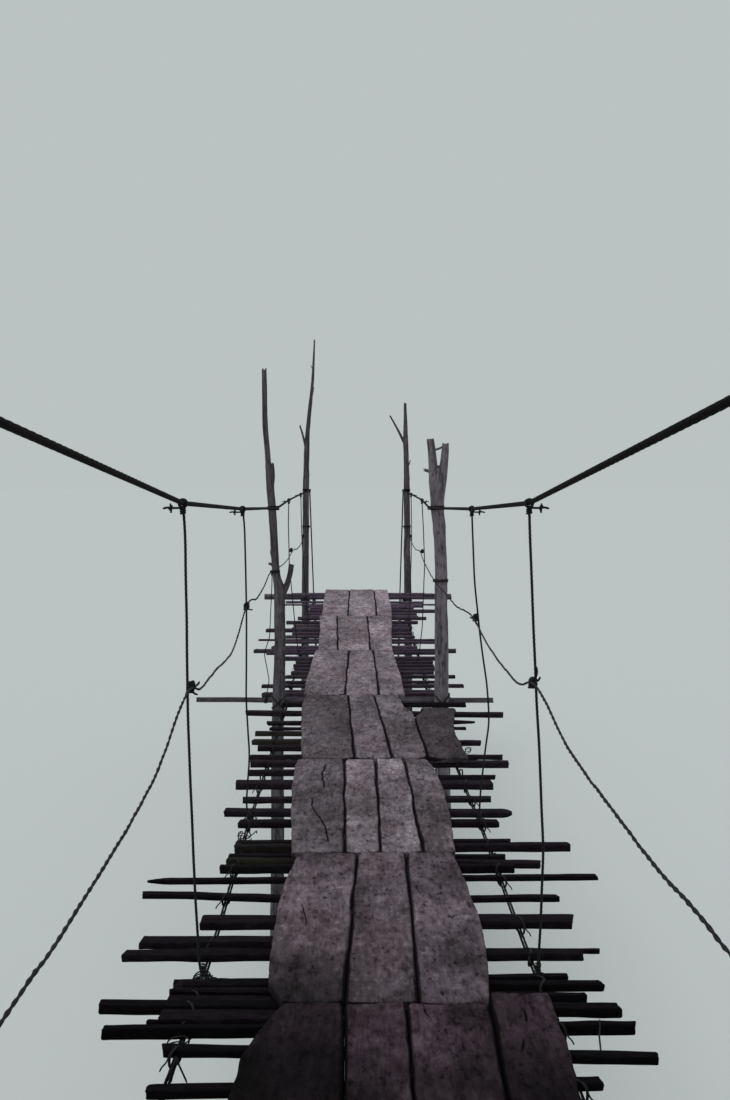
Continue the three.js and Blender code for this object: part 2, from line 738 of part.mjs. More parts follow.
plankRows.forEach((row, k) => {
  const underside = (y) => slatFoot(y) + slatTop + slatSeat;
  const [first, last] = bearersOf(row);
  const slope = (underside(last) - underside(first)) / (last - first);
  const geometry = new THREE.ExtrudeGeometry(rowOutline(row), {
    depth: plankThickness,
    bevelEnabled: false,
  });
  geometry.rotateX(Math.atan(slope));
  geometry.translate(0, row.start, underside(first) + slope * (row.start - first));
  addNode(`plank_row_${k + 1}`, solidOf(geometry), finish.plank);
});

export default bridge;
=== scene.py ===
# A rope suspension footbridge of six bays: rough poles, hand, side and deck cables,
# hangers, split slats and worn planks. Metres, +Z up, the bridge runs along Y.

import itertools
import math
import bpy
import numpy as np
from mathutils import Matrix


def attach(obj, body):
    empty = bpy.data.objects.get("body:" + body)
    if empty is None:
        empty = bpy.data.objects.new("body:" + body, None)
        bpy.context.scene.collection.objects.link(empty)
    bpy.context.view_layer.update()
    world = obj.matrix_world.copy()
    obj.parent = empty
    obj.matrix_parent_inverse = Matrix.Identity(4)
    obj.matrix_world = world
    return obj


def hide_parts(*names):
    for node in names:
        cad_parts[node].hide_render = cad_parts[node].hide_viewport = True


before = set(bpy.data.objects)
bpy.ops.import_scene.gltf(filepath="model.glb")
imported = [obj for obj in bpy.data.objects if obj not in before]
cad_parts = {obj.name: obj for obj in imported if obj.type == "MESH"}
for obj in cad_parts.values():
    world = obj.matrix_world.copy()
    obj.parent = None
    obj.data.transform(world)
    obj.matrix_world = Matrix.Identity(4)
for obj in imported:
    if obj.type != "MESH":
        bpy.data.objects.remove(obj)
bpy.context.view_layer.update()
mm = 0.001
print("frame loaded:", len(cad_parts), "nodes")

# Places in metres: bays end at the poles and hangers, and left is at -X. The deck's height
# over the ground is deckLow + deckRise × the square of the place along the bridge
bridge = {
    "bayEnds": np.array([-6335, -4235, -2395, 485, 2435, 4385, 6335]) * mm,
    "hangerPlaces": np.array([-4235, -2395, 2435, 4385]) * mm,
    "deckLow": 1.600,
    "deckRise": 0.0044,
    "deckCableX": {"left": np.array([-466, -457, -480, -480, -480, -480, -480]) * mm,
                   "right": np.array([515, 537, 545, 510, 510, 510, 510]) * mm},
    "deckCableRadius": 0.008,
    "handCableRadius": 0.0075,
    "sideRopeRadius": 0.0035,
    "hangerToRope": 0.0078,
    "gap": 0.0003,
    "anchorDistance": 2.4,
    "anchorX": 0.610,
    "anchorRadius": 0.065,
    "anchorHeight": 0.520,
    "handCableTie": 0.360,
    "deckCableTie": 0.170,
}
nearEnd, farEnd = bridge["bayEnds"][0], bridge["bayEnds"][-1]
middle = bridge["bayEnds"][3]


noise = {"tableSize": 4096, "primes": np.array([73856093, 19349663, 83492791])}


def latticeNoise(points, seed):
    # seeded values on a cubic lattice, blended by smoothstep between a cell's eight corners;
    # a corner's products with three large primes pick its value from the table
    table = np.random.default_rng(seed).uniform(-1.0, 1.0, noise["tableSize"])
    low = np.floor(points).astype(np.int64)
    part = points - low
    part = part * part * (3 - 2 * part)
    total = np.zeros(points.shape[:-1])
    for corner in itertools.product((0, 1), repeat=3):
        corner = np.array(corner)
        index = np.bitwise_xor.reduce((low + corner) * noise["primes"], axis=-1) & (noise["tableSize"] - 1)
        total += table[index] * np.prod(np.where(corner == 1, part, 1 - part), axis=-1)
    return total


def roughness(points, size, seed, octaves=2):
    # lattice noise of the points over a size, each octave half as large and half as strong
    scaled = points / np.asarray(size)
    return sum(latticeNoise(scaled * 2 ** k, seed + k) / 2 ** k for k in range(octaves))


def nearness(distance, reach):
    # one at no distance, falling evenly to nothing at the reach
    return np.clip(1 - distance / reach, 0, 1)


def unit(vectors):
    return vectors / np.maximum(np.linalg.norm(vectors, axis=-1, keepdims=True), 1e-12)


def arcLength(path):
    return np.concatenate([[0], np.cumsum(np.linalg.norm(np.diff(path, axis=0), axis=1))])


def placed(x, y, z):
    # points from their coordinates; a single one counts for all of them
    return np.stack(np.broadcast_arrays(x, y, z), axis=-1)


def alongPath(places, knots, path):
    # straight between a path's points, which lie at the knots
    return np.stack([np.interp(places, knots, path[:, k]) for k in range(3)], axis=1)


def resampled(path, step):
    # points at an even step of arc length along a path of straight stretches
    path = np.asarray(path, float)
    along = arcLength(path)
    places = np.linspace(0, along[-1], max(3, int(round(along[-1] / step)) + 1))
    return alongPath(places, along, path)


def boardPlaces(begin, finish, close, step):
    # places along a board: every step, and closer together by both ends
    return np.concatenate([begin + close, np.arange(begin + 0.03, finish - 0.03, step),
                           (finish - close)[::-1]])


def softened(path, reach):
    # a running mean over a window of points, with the path's ends kept
    padded = np.concatenate([np.repeat(path[:1], reach, 0), path, np.repeat(path[-1:], reach, 0)])
    window = np.ones(2 * reach + 1) / (2 * reach + 1)
    mean = np.stack([np.convolve(padded[:, k], window, "valid") for k in range(3)], axis=1)
    mean[0], mean[-1] = path[0], path[-1]
    return mean


def curveThrough(points, step, reach):
    # straight stretches from point to point, with their corners softened
    return softened(resampled(points, step), reach)


def carried(path, radii, reference, twist=0.0, swell=1.0):
    # rings along a path: at each point the profile of radii over angle is set square to the
    # path, starts from the reference direction and turns by the twist
    path = np.asarray(path, float)
    ahead = unit(np.gradient(path, axis=0))
    side = unit(np.cross(ahead, np.asarray(reference, float)))
    up = np.cross(side, ahead)
    radii = np.broadcast_to(radii, (len(path), np.shape(radii)[-1]))
    angle = np.linspace(0, 2 * np.pi, radii.shape[-1], endpoint=False)
    turn = angle + np.broadcast_to(twist, len(path))[:, None]
    size = (radii * np.broadcast_to(swell, len(path))[:, None])[..., None]
    return path[:, None, :] + size * (
        np.cos(turn)[..., None] * side[:, None, :] + np.sin(turn)[..., None] * up[:, None, :]
    )


def wireShell(path, radius, reference, sides=6, taper=0.0):
    # a round wire along a path, drawn in to three quarters at its ends, and by the taper more
    swell = np.ones(len(path))
    swell[0], swell[-1] = 0.75, 0.75 - taper
    swell[-2] -= taper / 2
    return {"points": carried(path, np.full(sides, radius), reference, swell=swell)}


def coilPath(centre, axis, radius, turns, pitch, start, wobble, seed):
    # a helix: centre + radius × (cos, sin) of its angle square to the axis + pitch along the axis
    axis = unit(np.asarray(axis, float))
    level = abs(axis[:2]).max() > 0.9
    across = unit(np.cross(axis, [0.0, 0.0, 1.0] if level else [0.31, 0.52, 0.79]))
    second = np.cross(axis, across)
    count = int(turns * 12) + 2  # twelve points a turn
    angle = start + np.linspace(0, 2 * np.pi * turns, count)
    rise = np.linspace(-0.5, 0.5, count) * pitch * turns
    reach = (radius * (1 + wobble * np.random.default_rng(seed).normal(size=count)))[:, None]
    return (np.asarray(centre, float) + reach * np.cos(angle)[:, None] * across
            + reach * np.sin(angle)[:, None] * second + rise[:, None] * axis)


def coil(centre, axis, wire, radius, turns, pitch, start=0.0, wobble=0.0, seed=0):
    # a round wire along that helix
    return wireShell(coilPath(centre, axis, radius, turns, pitch, start, wobble, seed), wire, axis)


def loopPath(centre, first, second, count, power, turns, drift):
    # a rounded oblong: centre + first × |cos|^power + second × |sin|^power, with their signs,
    # and the drift shared out evenly over its turns
    angle = np.linspace(0, 2 * np.pi * turns, int(count * turns) + 1)
    cosine, sine = np.cos(angle), np.sin(angle)
    cosine, sine = np.sign(cosine) * abs(cosine) ** power, np.sign(sine) * abs(sine) ** power
    slide = np.linspace(-0.5, 0.5, len(angle))[:, None] * np.asarray(drift, float)
    return (np.asarray(centre) + cosine[:, None] * np.asarray(first)
            + sine[:, None] * np.asarray(second) + slide)


def linked(name, data):
    # a new object at the origin, in the scene
    item = bpy.data.objects.new(name, data)
    bpy.context.scene.collection.objects.link(item)
    return item


def makePiece(name, shells, material, replaced=(), sharp=None):
    # one mesh of closed shells: each is a grid of rings, with a fan of faces over both ends
    points, loops, starts, values, first = [], [], [], {}, 0
    names = sorted({key for shell in shells for key in shell if key != "points"})
    faceStart = 0
    for shell in shells:
        grid = shell["points"]
        rings, sides = grid.shape[:2]
        column = np.arange(sides)
        following = (column + 1) % sides
        base = (np.arange(rings - 1) * sides)[:, None]
        quads = np.stack(
            [base + column, base + following, base + following + sides, base + column + sides], axis=-1
        ).reshape(-1, 4)
        near, far = rings * sides, rings * sides + 1
        last = (rings - 1) * sides
        fans = np.concatenate([placed(near, following, column),
                               placed(far, last + column, last + following)])
        flat = np.concatenate([grid.reshape(-1, 3), grid[0].mean(0)[None], grid[-1].mean(0)[None]])
        a, b, c, d = (flat[quads[:, k]] for k in range(4))
        volume = np.sum(np.cross(b - a, c - a) * a) + np.sum(np.cross(c - a, d - a) * a)
        if volume < 0:  # the rings run the other way round
            quads, fans = quads[:, ::-1], fans[:, ::-1]
        points.append(flat)
        loops += [(quads + first).ravel(), (fans + first).ravel()]
        sizes = np.concatenate([np.full(len(quads), 4), np.full(len(fans), 3)])
        starts.append(faceStart + np.concatenate([[0], np.cumsum(sizes)[:-1]]))
        faceStart += int(sizes.sum())
        first += len(flat)
        for key in names:
            width = 3 if key == "grainPlace" else 1
            layer = np.zeros(grid.shape[:2] + (width,))
            if key in shell:
                value = np.asarray(shell[key], float)
                layer[...] = value if width == 3 else value[..., None]
            ends = [layer[0].mean(0)[None], layer[-1].mean(0)[None]]
            values.setdefault(key, []).append(np.concatenate([layer.reshape(-1, width), *ends]))
    points, loops, starts = np.concatenate(points), np.concatenate(loops), np.concatenate(starts)
    mesh = bpy.data.meshes.new(name)
    mesh.vertices.add(len(points))
    mesh.vertices.foreach_set("co", points.astype(np.float32).ravel())
    mesh.loops.add(len(loops))
    mesh.loops.foreach_set("vertex_index", loops.astype(np.int32))
    mesh.polygons.add(len(starts))
    mesh.polygons.foreach_set("loop_start", starts.astype(np.int32))
    mesh.update(calc_edges=True)
    mesh.polygons.foreach_set("use_smooth", np.ones(len(starts), bool))
    for key in names:
        kind, part = ("FLOAT_VECTOR", "vector") if key == "grainPlace" else ("FLOAT", "value")
        attribute = mesh.attributes.new(key, kind, "POINT")
        attribute.data.foreach_set(part, np.concatenate(values[key]).astype(np.float32).ravel())
    if sharp:
        mesh.set_sharp_from_angle(angle=math.radians(sharp))
    mesh.validate()
    mesh.materials.append(material)
    piece = linked(name, mesh)
    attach(piece, "root")
    if replaced:
        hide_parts(*replaced)


def put(tree, kind, sockets=None, **settings):
    # a node with its settings, whose inputs take either a value or another node's output
    node = tree.nodes.new("ShaderNode" + kind)
    for key, value in settings.items():
        setattr(node, key, value)
    for key, value in (sockets or {}).items():
        if isinstance(value, bpy.types.NodeSocket):
            tree.links.new(value, node.inputs[key])
        else:
            node.inputs[key].default_value = value
    return node


def mixed(tree, factor, first, second, blend="MIX"):
    colours = [(*c, 1) if isinstance(c, tuple) and len(c) == 3 else c for c in (first, second)]
    node = put(tree, "Mix", data_type="RGBA", blend_type=blend)
    for index, value in zip((0, 6, 7), (factor, *colours)):
        if isinstance(value, bpy.types.NodeSocket):
            tree.links.new(value, node.inputs[index])
        else:
            node.inputs[index].default_value = value
    return node.outputs[2]


def maths(tree, operation, first, second):
    return put(tree, "Math", {0: first, 1: second}, operation=operation).outputs[0]


def vectors(tree, operation, first, second):
    return put(tree, "VectorMath", {0: first, 1: second}, operation=operation).outputs[0]


def cloud(tree, place, scale, detail, **sockets):
    # a noise texture: its first output is a value, its second a colour
    return put(tree, "TexNoise", {"Vector": place, "Scale": scale, "Detail": detail, **sockets}).outputs


def ramped(tree, value, low, high, toLow=0.0, toHigh=1.0):
    # the value's range from low to high, spread over the new range and held at its ends
    sockets = {"Value": value, "From Min": low, "From Max": high, "To Min": toLow, "To Max": toHigh}
    return put(tree, "MapRange", sockets).outputs[0]


def newGroup(name, inputs, outputs):
    tree = bpy.data.node_groups.new(name, "ShaderNodeTree")
    for label, kind, value in inputs:
        socket = tree.interface.new_socket(name=label, in_out="INPUT", socket_type="NodeSocket" + kind)
        if value is not None:
            socket.default_value = value
    for label, kind in outputs:
        tree.interface.new_socket(name=label, in_out="OUTPUT", socket_type="NodeSocket" + kind)
    return tree, tree.nodes.new("NodeGroupInput"), tree.nodes.new("NodeGroupOutput")


def grainGroup():
    # wood grain: noise drawn out along the second coordinate, and fine checks between fibres
    tree, given, made = newGroup(
        "woodGrain",
        [("Place", "Vector", None), ("Fineness", "Float", 90.0), ("Length", "Float", 3.0),
         ("Checks", "Float", 0.5)],
        [("Streaks", "Float"), ("Checks", "Float"), ("Height", "Float")],
    )
    stretch = put(tree, "CombineXYZ", {0: given.outputs[1], 1: given.outputs[2], 2: given.outputs[1]})
    warp = vectors(tree, "SUBTRACT", cloud(tree, given.outputs[0], 7.0, 2.0)[1], (0.5, 0.5, 0.5))
    bent = vectors(tree, "ADD", given.outputs[0], vectors(tree, "MULTIPLY", warp, (0.012, 0.0, 0.012)))
    place = vectors(tree, "MULTIPLY", bent, stretch.outputs[0])
    fibres = cloud(tree, place, 1.0, 6.0, Roughness=0.65, Distortion=0.3)
    streaks = ramped(tree, fibres[0], 0.32, 0.68)
    cells = put(tree, "TexVoronoi", {"Vector": place, "Scale": 0.33, "Randomness": 1.0},
                feature="DISTANCE_TO_EDGE")
    lines = ramped(tree, cells.outputs[0], 0.0, 0.06, 1.0, 0.0)
    wanted = ramped(tree, cloud(tree, given.outputs[0], 9.0, 3.0)[0], 0.48, 0.62)
    checks = maths(tree, "MULTIPLY", maths(tree, "MULTIPLY", lines, wanted), given.outputs[3])
    height = maths(tree, "SUBTRACT", streaks, maths(tree, "MULTIPLY", checks, 1.6))
    tree.links.new(streaks, made.inputs[0])
    tree.links.new(checks, made.inputs[1])
    tree.links.new(height, made.inputs[2])
    return tree


def weatherGroup():
    # weather marks: broad patches, blotches, pale flecks, dark pits and scuffs across the grain
    tree, given, made = newGroup(
        "weatherMarks",
        [("Place", "Vector", None), ("Patch Size", "Float", 6.0), ("Fleck Size", "Float", 90.0),
         ("Blotch Size", "Float", 32.0)],
        [("Patches", "Float"), ("Flecks", "Float"), ("Pits", "Float"), ("Blotches", "Float"),
         ("Scuffs", "Float"), ("Broad", "Float")],
    )
    place = vectors(tree, "MULTIPLY", given.outputs["Place"], (1.0, 0.4, 1.0))
    broad = cloud(tree, place, given.outputs["Patch Size"], 5.0, Roughness=0.6)[0]
    blotches = cloud(tree, place, given.outputs["Blotch Size"], 8.0, Roughness=0.74)[0]
    slow = cloud(tree, place, 3.5, 3.0, Roughness=0.6)[0]
    small = cloud(tree, place, given.outputs["Fleck Size"], 3.0, Roughness=0.55)[0]
    cluster = cloud(tree, place, 12.0, 2.0)[0]
    bands = cloud(tree, vectors(tree, "MULTIPLY", place, (9.0, 180.0, 9.0)), 1.0, 3.0)[0]
    flecks, pits, scuffs = (
        maths(tree, "MULTIPLY", ramped(tree, marks, *span), ramped(tree, cluster, *spread))
        for marks, span, spread in ((small, (0.54, 0.68), (0.4, 0.6, 0.25, 1.0)),
                                    (small, (0.44, 0.33), (0.62, 0.42, 0.1, 1.0)),
                                    (bands, (0.55, 0.72), (0.45, 0.6, 0.2, 1.0))))
    for name, value in (("Patches", ramped(tree, broad, 0.42, 0.6)), ("Flecks", flecks),
                        ("Pits", pits), ("Blotches", ramped(tree, blotches, 0.36, 0.64)),
                        ("Scuffs", scuffs), ("Broad", ramped(tree, slow, 0.3, 0.7))):
        tree.links.new(value, made.inputs[name])
    return tree


woodGrain = grainGroup()
weatherMarks = weatherGroup()


def field(tree, name, output=2):
    # an attribute of the mesh: its second output is a vector, its third a value
    return put(tree, "Attribute", attribute_name=name).outputs[output]


def finishOf(name, colour, roughness, height, look, strength=1.0):
    # the shader of a finish: constant values sit on its own sockets
    material = bpy.data.materials[name]
    tree = material.node_tree
    shader = tree.nodes["Principled BSDF"]
    bump = put(tree, "Bump", {"Height": height, "Distance": look["relief"], "Strength": strength})
    tree.links.new(colour, shader.inputs["Base Color"])
    tree.links.new(roughness, shader.inputs["Roughness"])
    tree.links.new(bump.outputs[0], shader.inputs["Normal"])
    shader.inputs["Specular IOR Level"].default_value = look["specular"]
    return material


def newMaterial(name):
    material = bpy.data.materials.new(name)
    material.use_nodes = True
    return material.node_tree


def woodFinish(name, look):
    # weathered wood: a dark and a pale tone mixed by grain streaks and blotches, then tinted
    # patches, the upper tone, scuffs, flecks, pits, checks and moss, and painted shade in
    # cracks, joints and under the boards; on the slats the upper tone is painted top light
    tree = newMaterial(name)
    place = field(tree, "grainPlace", 1)
    tone, crack, moss, upper, depth = (
        field(tree, key) for key in ("tone", "crack", "moss", "upper", "depth"))
    grain = put(tree, "Group", node_tree=woodGrain)
    marks = put(tree, "Group", node_tree=weatherMarks)
    for node, values in ((grain, look["grain"]), (marks, look["marks"])):
        tree.links.new(place, node.inputs["Place"])
        for key, value in values.items():
            node.inputs[key].default_value = value
    patches, flecks, pits, blotches, scuffs = (
        marks.outputs[key] for key in ("Patches", "Flecks", "Pits", "Blotches", "Scuffs"))
    blend = maths(tree, "ADD", maths(tree, "MULTIPLY", grain.outputs["Streaks"], look["streakShare"]),
                  maths(tree, "MULTIPLY", blotches, 1 - look["streakShare"]))
    colour = mixed(tree, blend, look["dark"], look["pale"])
    # upper: on slats the top face, a painted top light; on poles rubbed bark; on planks a warm tone
    for mask, share, low, high in ((patches, "tintShare", "tintDark", "tintPale"),
                                   (upper, "topShare", "topDark", "topPale")):
        over = mixed(tree, blend, look[low], look[high])
        colour = mixed(tree, maths(tree, "MULTIPLY", mask, look[share]), colour, over)
    for mask, share, over in ((scuffs, "scuffShare", "fleck"), (flecks, "fleckShare", "fleck"),
                              (pits, "pitShare", "deep")):
        colour = mixed(tree, maths(tree, "MULTIPLY", mask, look[share]), colour, look[over])
    mossMask = maths(tree, "MULTIPLY", ramped(tree, patches, 0.1, 0.9), moss)
    # painted shade: cracks, joints and the boards' sides and undersides are darkened to deep
    for mask, over in ((mossMask, "moss"), (grain.outputs["Checks"], "deep"), (crack, "deep")):
        colour = mixed(tree, mask, colour, look[over])
    # tone scales the colour, and on slats and planks it also carries painted haze and painted
    # shade; depth widens the swing between pale and dark patches
    swing = maths(tree, "MULTIPLY", maths(tree, "SUBTRACT", marks.outputs["Broad"], 0.5), depth)
    tone = maths(tree, "MULTIPLY", tone, maths(tree, "ADD", swing, 1.0))
    brightness = put(tree, "CombineColor", {0: tone, 1: tone, 2: tone}).outputs[0]
    colour = mixed(tree, 1.0, colour, brightness, "MULTIPLY")
    rough = ramped(tree, blend, 0.0, 1.0, look["rough"][1], look["rough"][0])
    relief = maths(tree, "MULTIPLY", grain.outputs["Height"], look["grainRelief"])
    relief = maths(tree, "ADD", relief, maths(tree, "MULTIPLY", blotches, 0.7))
    relief = maths(tree, "SUBTRACT", relief, maths(tree, "MULTIPLY", pits, 0.8))
    return finishOf(name, colour, rough, relief, look)


plankWood = woodFinish("plankWood", {
    "grain": {"Fineness": 110.0, "Length": 6.0, "Checks": 0.3},
    "marks": {"Patch Size": 4.0, "Fleck Size": 60.0, "Blotch Size": 24.0},
    "streakShare": 0.38, "grainRelief": 0.6,
    "dark": (0.026, 0.0195, 0.025), "pale": (0.160, 0.136, 0.153),
    "tintDark": (0.024, 0.0140, 0.020), "tintPale": (0.148, 0.108, 0.136), "tintShare": 0.8,
    "fleck": (0.260, 0.235, 0.250), "fleckShare": 0.45, "scuffShare": 0.12,
    "topDark": (0.010, 0.0042, 0.0075), "topPale": (0.218, 0.130, 0.186), "topShare": 0.85,
    "deep": (0.008, 0.006, 0.008), "pitShare": 0.85, "moss": (0.060, 0.055, 0.028),
    "rough": (0.78, 0.97), "relief": 0.0022, "specular": 0.045,
})
slatWood = woodFinish("slatWood", {
    "grain": {"Fineness": 150.0, "Length": 6.0, "Checks": 0.6},
    "marks": {"Patch Size": 5.0, "Fleck Size": 90.0, "Blotch Size": 40.0},
    "streakShare": 0.6, "grainRelief": 1.0,
    "dark": (0.0012, 0.0009, 0.0014), "pale": (0.0050, 0.0041, 0.0054),
    "tintDark": (0.0014, 0.0009, 0.0013), "tintPale": (0.0060, 0.0042, 0.0051), "tintShare": 0.6,
    "fleck": (0.013, 0.012, 0.0135), "fleckShare": 0.35, "scuffShare": 0.1,
    "topDark": (0.0021, 0.0013, 0.0025), "topPale": (0.0105, 0.0072, 0.0112), "topShare": 0.85,
    "deep": (0.0006, 0.0005, 0.0007), "pitShare": 0.7, "moss": (0.0105, 0.0108, 0.0060),
    "rough": (0.8, 0.97), "relief": 0.0016, "specular": 0.03,
})
poleBark = woodFinish("poleBark", {
    "grain": {"Fineness": 75.0, "Length": 5.0, "Checks": 0.8},
    "marks": {"Patch Size": 7.0, "Fleck Size": 60.0, "Blotch Size": 30.0},
    "streakShare": 0.6, "grainRelief": 1.0,
    "dark": (0.017, 0.0155, 0.0205), "pale": (0.060, 0.055, 0.067),
    "tintDark": (0.024, 0.019, 0.021), "tintPale": (0.074, 0.064, 0.070), "tintShare": 0.7,
    "fleck": (0.115, 0.108, 0.115), "fleckShare": 0.35, "scuffShare": 0.1,
    "topDark": (0.048, 0.041, 0.047), "topPale": (0.120, 0.106, 0.118), "topShare": 0.8,
    "deep": (0.005, 0.004, 0.005), "pitShare": 0.7, "moss": (0.030, 0.031, 0.018),
    "rough": (0.75, 0.95), "relief": 0.003, "specular": 0.2,
})


def metalFinish(name, look):
    # old steel or tarred cord: dark body, brown bloom in broad patches, fine grey spots
    tree = newMaterial(name)
    coordinates = put(tree, "TexCoord").outputs["Object"]
    broad = cloud(tree, coordinates, look["patchScale"], 4.0)[0]
    fine = cloud(tree, coordinates, look["fineScale"], 4.0, Roughness=0.7)[0]
    bloom = ramped(tree, broad, 0.45, 0.65, 0.0, look["bloomShare"])
    spots = ramped(tree, fine, 0.5, 0.7)
    colour = mixed(tree, bloom, look["body"], look["bloom"])
    colour = mixed(tree, maths(tree, "MULTIPLY", spots, look["spotShare"]), colour, look["spot"])
    rough = ramped(tree, fine, 0.35, 0.65, look["rough"][0], look["rough"][1])
    return finishOf(name, colour, rough, fine, look, 0.6)


cableSteel = metalFinish("cableSteel", {
    "body": (0.0024, 0.0018, 0.0020), "bloom": (0.0090, 0.0042, 0.0038), "bloomShare": 0.7,
    "spot": (0.016, 0.014, 0.0145), "spotShare": 0.3, "patchScale": 5.0, "fineScale": 260.0,
    "rough": (0.65, 0.9), "relief": 0.0006, "specular": 0.045,
})
hangerWire = metalFinish("hangerWire", {
    "body": (0.0050, 0.0056, 0.0064), "bloom": (0.0100, 0.0072, 0.0066), "bloomShare": 0.5,
    "spot": (0.030, 0.032, 0.034), "spotShare": 0.3, "patchScale": 9.0, "fineScale": 320.0,
    "rough": (0.55, 0.8), "relief": 0.0005, "specular": 0.2,
})
ropeFibre = metalFinish("ropeFibre", {
    "body": (0.0100, 0.0105, 0.0115), "bloom": (0.0200, 0.0175, 0.0170), "bloomShare": 0.6,
    "spot": (0.060, 0.064, 0.066), "spotShare": 0.35, "patchScale": 8.0, "fineScale": 420.0,
    "rough": (0.75, 0.95), "relief": 0.0008, "specular": 0.2,
})
print("materials made")


def pole(place, stages, limbs, seed, knots, tone, bare=0.2):
    return {"place": place, "stages": np.array(stages) * mm, "limbs": limbs, "seed": seed,
            "knots": knots, "tone": tone, "bare": bare}


# In mm: stages are height, x and radius; limbs are x and height of the start and of the end,
# then both radii; knots are height, angle round the trunk in radians and bulge. Bare says how
# much bark is rubbed off
poles = {
    "near_left_pole": pole(nearEnd, [
        [0, -548, 52], [900, -543, 49], [1777, -541, 45], [2600, -541, 38],
        [3275, -540, 32], [3880, -552, 24], [3940, -553, 15]],
        [[-545, 3330, -622, 3560, 20, 14], [-541, 2700, -598, 2722, 15, 11]], 11,
        knots=[[700, 0.6, 8], [2150, 3.4, 7], [3050, 5.0, 6]], tone=1.3),
    "near_right_pole": pole(nearEnd, [
        [0, 592, 54], [900, 584, 51], [1777, 577, 48], [2600, 560, 42],
        [3275, 549, 36], [3640, 545, 30], [3700, 545, 20]],
        [[548, 3380, 488, 3590, 19, 13], [556, 2760, 612, 2778, 15, 11]], 12,
        knots=[[1100, 2.0, 8], [2350, 5.5, 7], [3150, 1.0, 6]], tone=1.3),
    "middle_left_pole": pole(middle, [
        [0, -545, 47], [800, -540, 44], [1620, -531, 40], [2010, -518, 38], [2330, -517, 36],
        [2412, -519, 37], [2440, -535, 26], [2520, -547, 24.5], [2710, -556, 25], [2937, -567, 27],
        [3060, -579, 27], [3185, -583, 28], [3200, -587, 24], [3222, -594, 18], [3260, -596, 17.5],
        [3456, -611, 18], [3850, -614, 16]],
        [[-505, 2360, -462, 2452, 26, 17], [-550, 2545, -590, 2566, 12, 8],
         [-568, 3080, -567, 3231, 14, 13], [-472, 2420, -439, 2558, 17, 18]], 13,
        knots=[[1900, 4.4, 6], [2250, 5.2, 7], [2640, 3.2, 6], [3215, 4.0, 6]], tone=1.25, bare=0.3),
    "middle_right_pole": pole(middle, [
        [0, 592, 54], [800, 585, 52], [1620, 571, 49], [1941, 567, 46], [2266, 568, 42],
        [2589, 561, 42], [2803, 551, 42], [2900, 536, 42], [2990, 534, 45], [3050, 536, 54],
        [3080, 537, 59], [3150, 539, 58], [3180, 541, 52]],
        [[512, 3100, 487, 3392, 33, 24], [556, 3085, 590, 3362, 37, 21], [485, 3180, 450, 3190, 13, 10],
         [512, 3322, 570, 3344, 8, 6], [516, 3208, 566, 3214, 12, 11]], 14,
        knots=[[1850, 4.0, 7], [2480, 5.4, 7], [2780, 3.6, 6], [3060, 4.9, 7]], tone=2.15, bare=0.75),
    "far_left_pole": pole(farEnd, [
        [0, -592, 48], [900, -592, 45], [1777, -590, 40], [2960, -578, 34],
        [3420, -568, 30], [3640, -557, 24], [4200, -500, 16], [4650, -477, 8]],
        [[-570, 3390, -645, 3690, 16, 9], [-520, 4000, -488, 4120, 8, 4],
         [-494, 4270, -520, 4370, 7, 3]], 15,
        knots=[[1300, 3.0, 7], [2500, 5.0, 7], [3300, 4.2, 6]], tone=1.3),
    "far_right_pole": pole(farEnd, [
        [0, 590, 48], [900, 585, 44], [1777, 578, 40], [2960, 566, 34],
        [3500, 552, 28], [3940, 545, 15]],
        [[553, 3460, 375, 3800, 17, 8], [560, 3200, 604, 3300, 9, 5]], 16,
        knots=[[1000, 4.0, 7], [2200, 2.0, 7], [3100, 5.6, 6]], tone=1.3),
}


def poleAt(trunk, height):
    # x and radius at a height, straight between the stages
    stages = trunk["stages"]
    return np.interp(height, stages[:, 0], stages[:, 1]), np.interp(height, stages[:, 0], stages[:, 2])


barkSettings = {
    "swelling": 0.07, "swellSize": (0.09, 0.22, 0.09), "ridgeSize": (0.012, 0.11, 0.012),
    "rubSize": (0.03, 0.30, 0.03), "breakLength": 0.05,
}
poleSettings = {"step": 0.016, "sides": 30, "ridge": 0.0022, "ragged": 0.020,
                "limbStep": 0.012, "limbSides": 16, "limbRidge": 0.0016, "limbRagged": 0.012}


def barkShell(path, radii, sides, reference, seed, ridge, ragged, tone=1.0, bare=0.2):
    # a trunk: radius × (1 + slow swelling) + bark ridges drawn out along it, with a broken top
    look = barkSettings
    along = arcLength(path)
    angle = np.linspace(0, 2 * np.pi, sides, endpoint=False)
    around = placed(np.cos(angle) * 0.05, along[:, None], np.sin(angle) * 0.05)
    shifted = around + seed
    swelling = look["swelling"] * roughness(shifted, look["swellSize"], seed)
    bark = ridge * roughness(shifted, look["ridgeSize"], seed + 5, 3)
    profile = radii[:, None] * (1 + swelling) + bark * np.minimum(1, radii / 0.03)[:, None]
    points = carried(path, profile, reference)
    broken = ragged * roughness(around * 4 + seed, 0.05, seed + 9)[-1]
    closeness = nearness(along[-1] - along, look["breakLength"]) ** 2
    points += (closeness[:, None] * broken)[..., None] * unit(path[-1] - path[-3])
    rubbed = roughness(shifted, look["rubSize"], seed + 11, 3)
    return {"points": points, "grainPlace": around + seed * 1.7, "tone": np.full(points.shape[:2], tone),
            "upper": np.clip((rubbed + bare) * 2.5 - 0.6, 0, 1)}


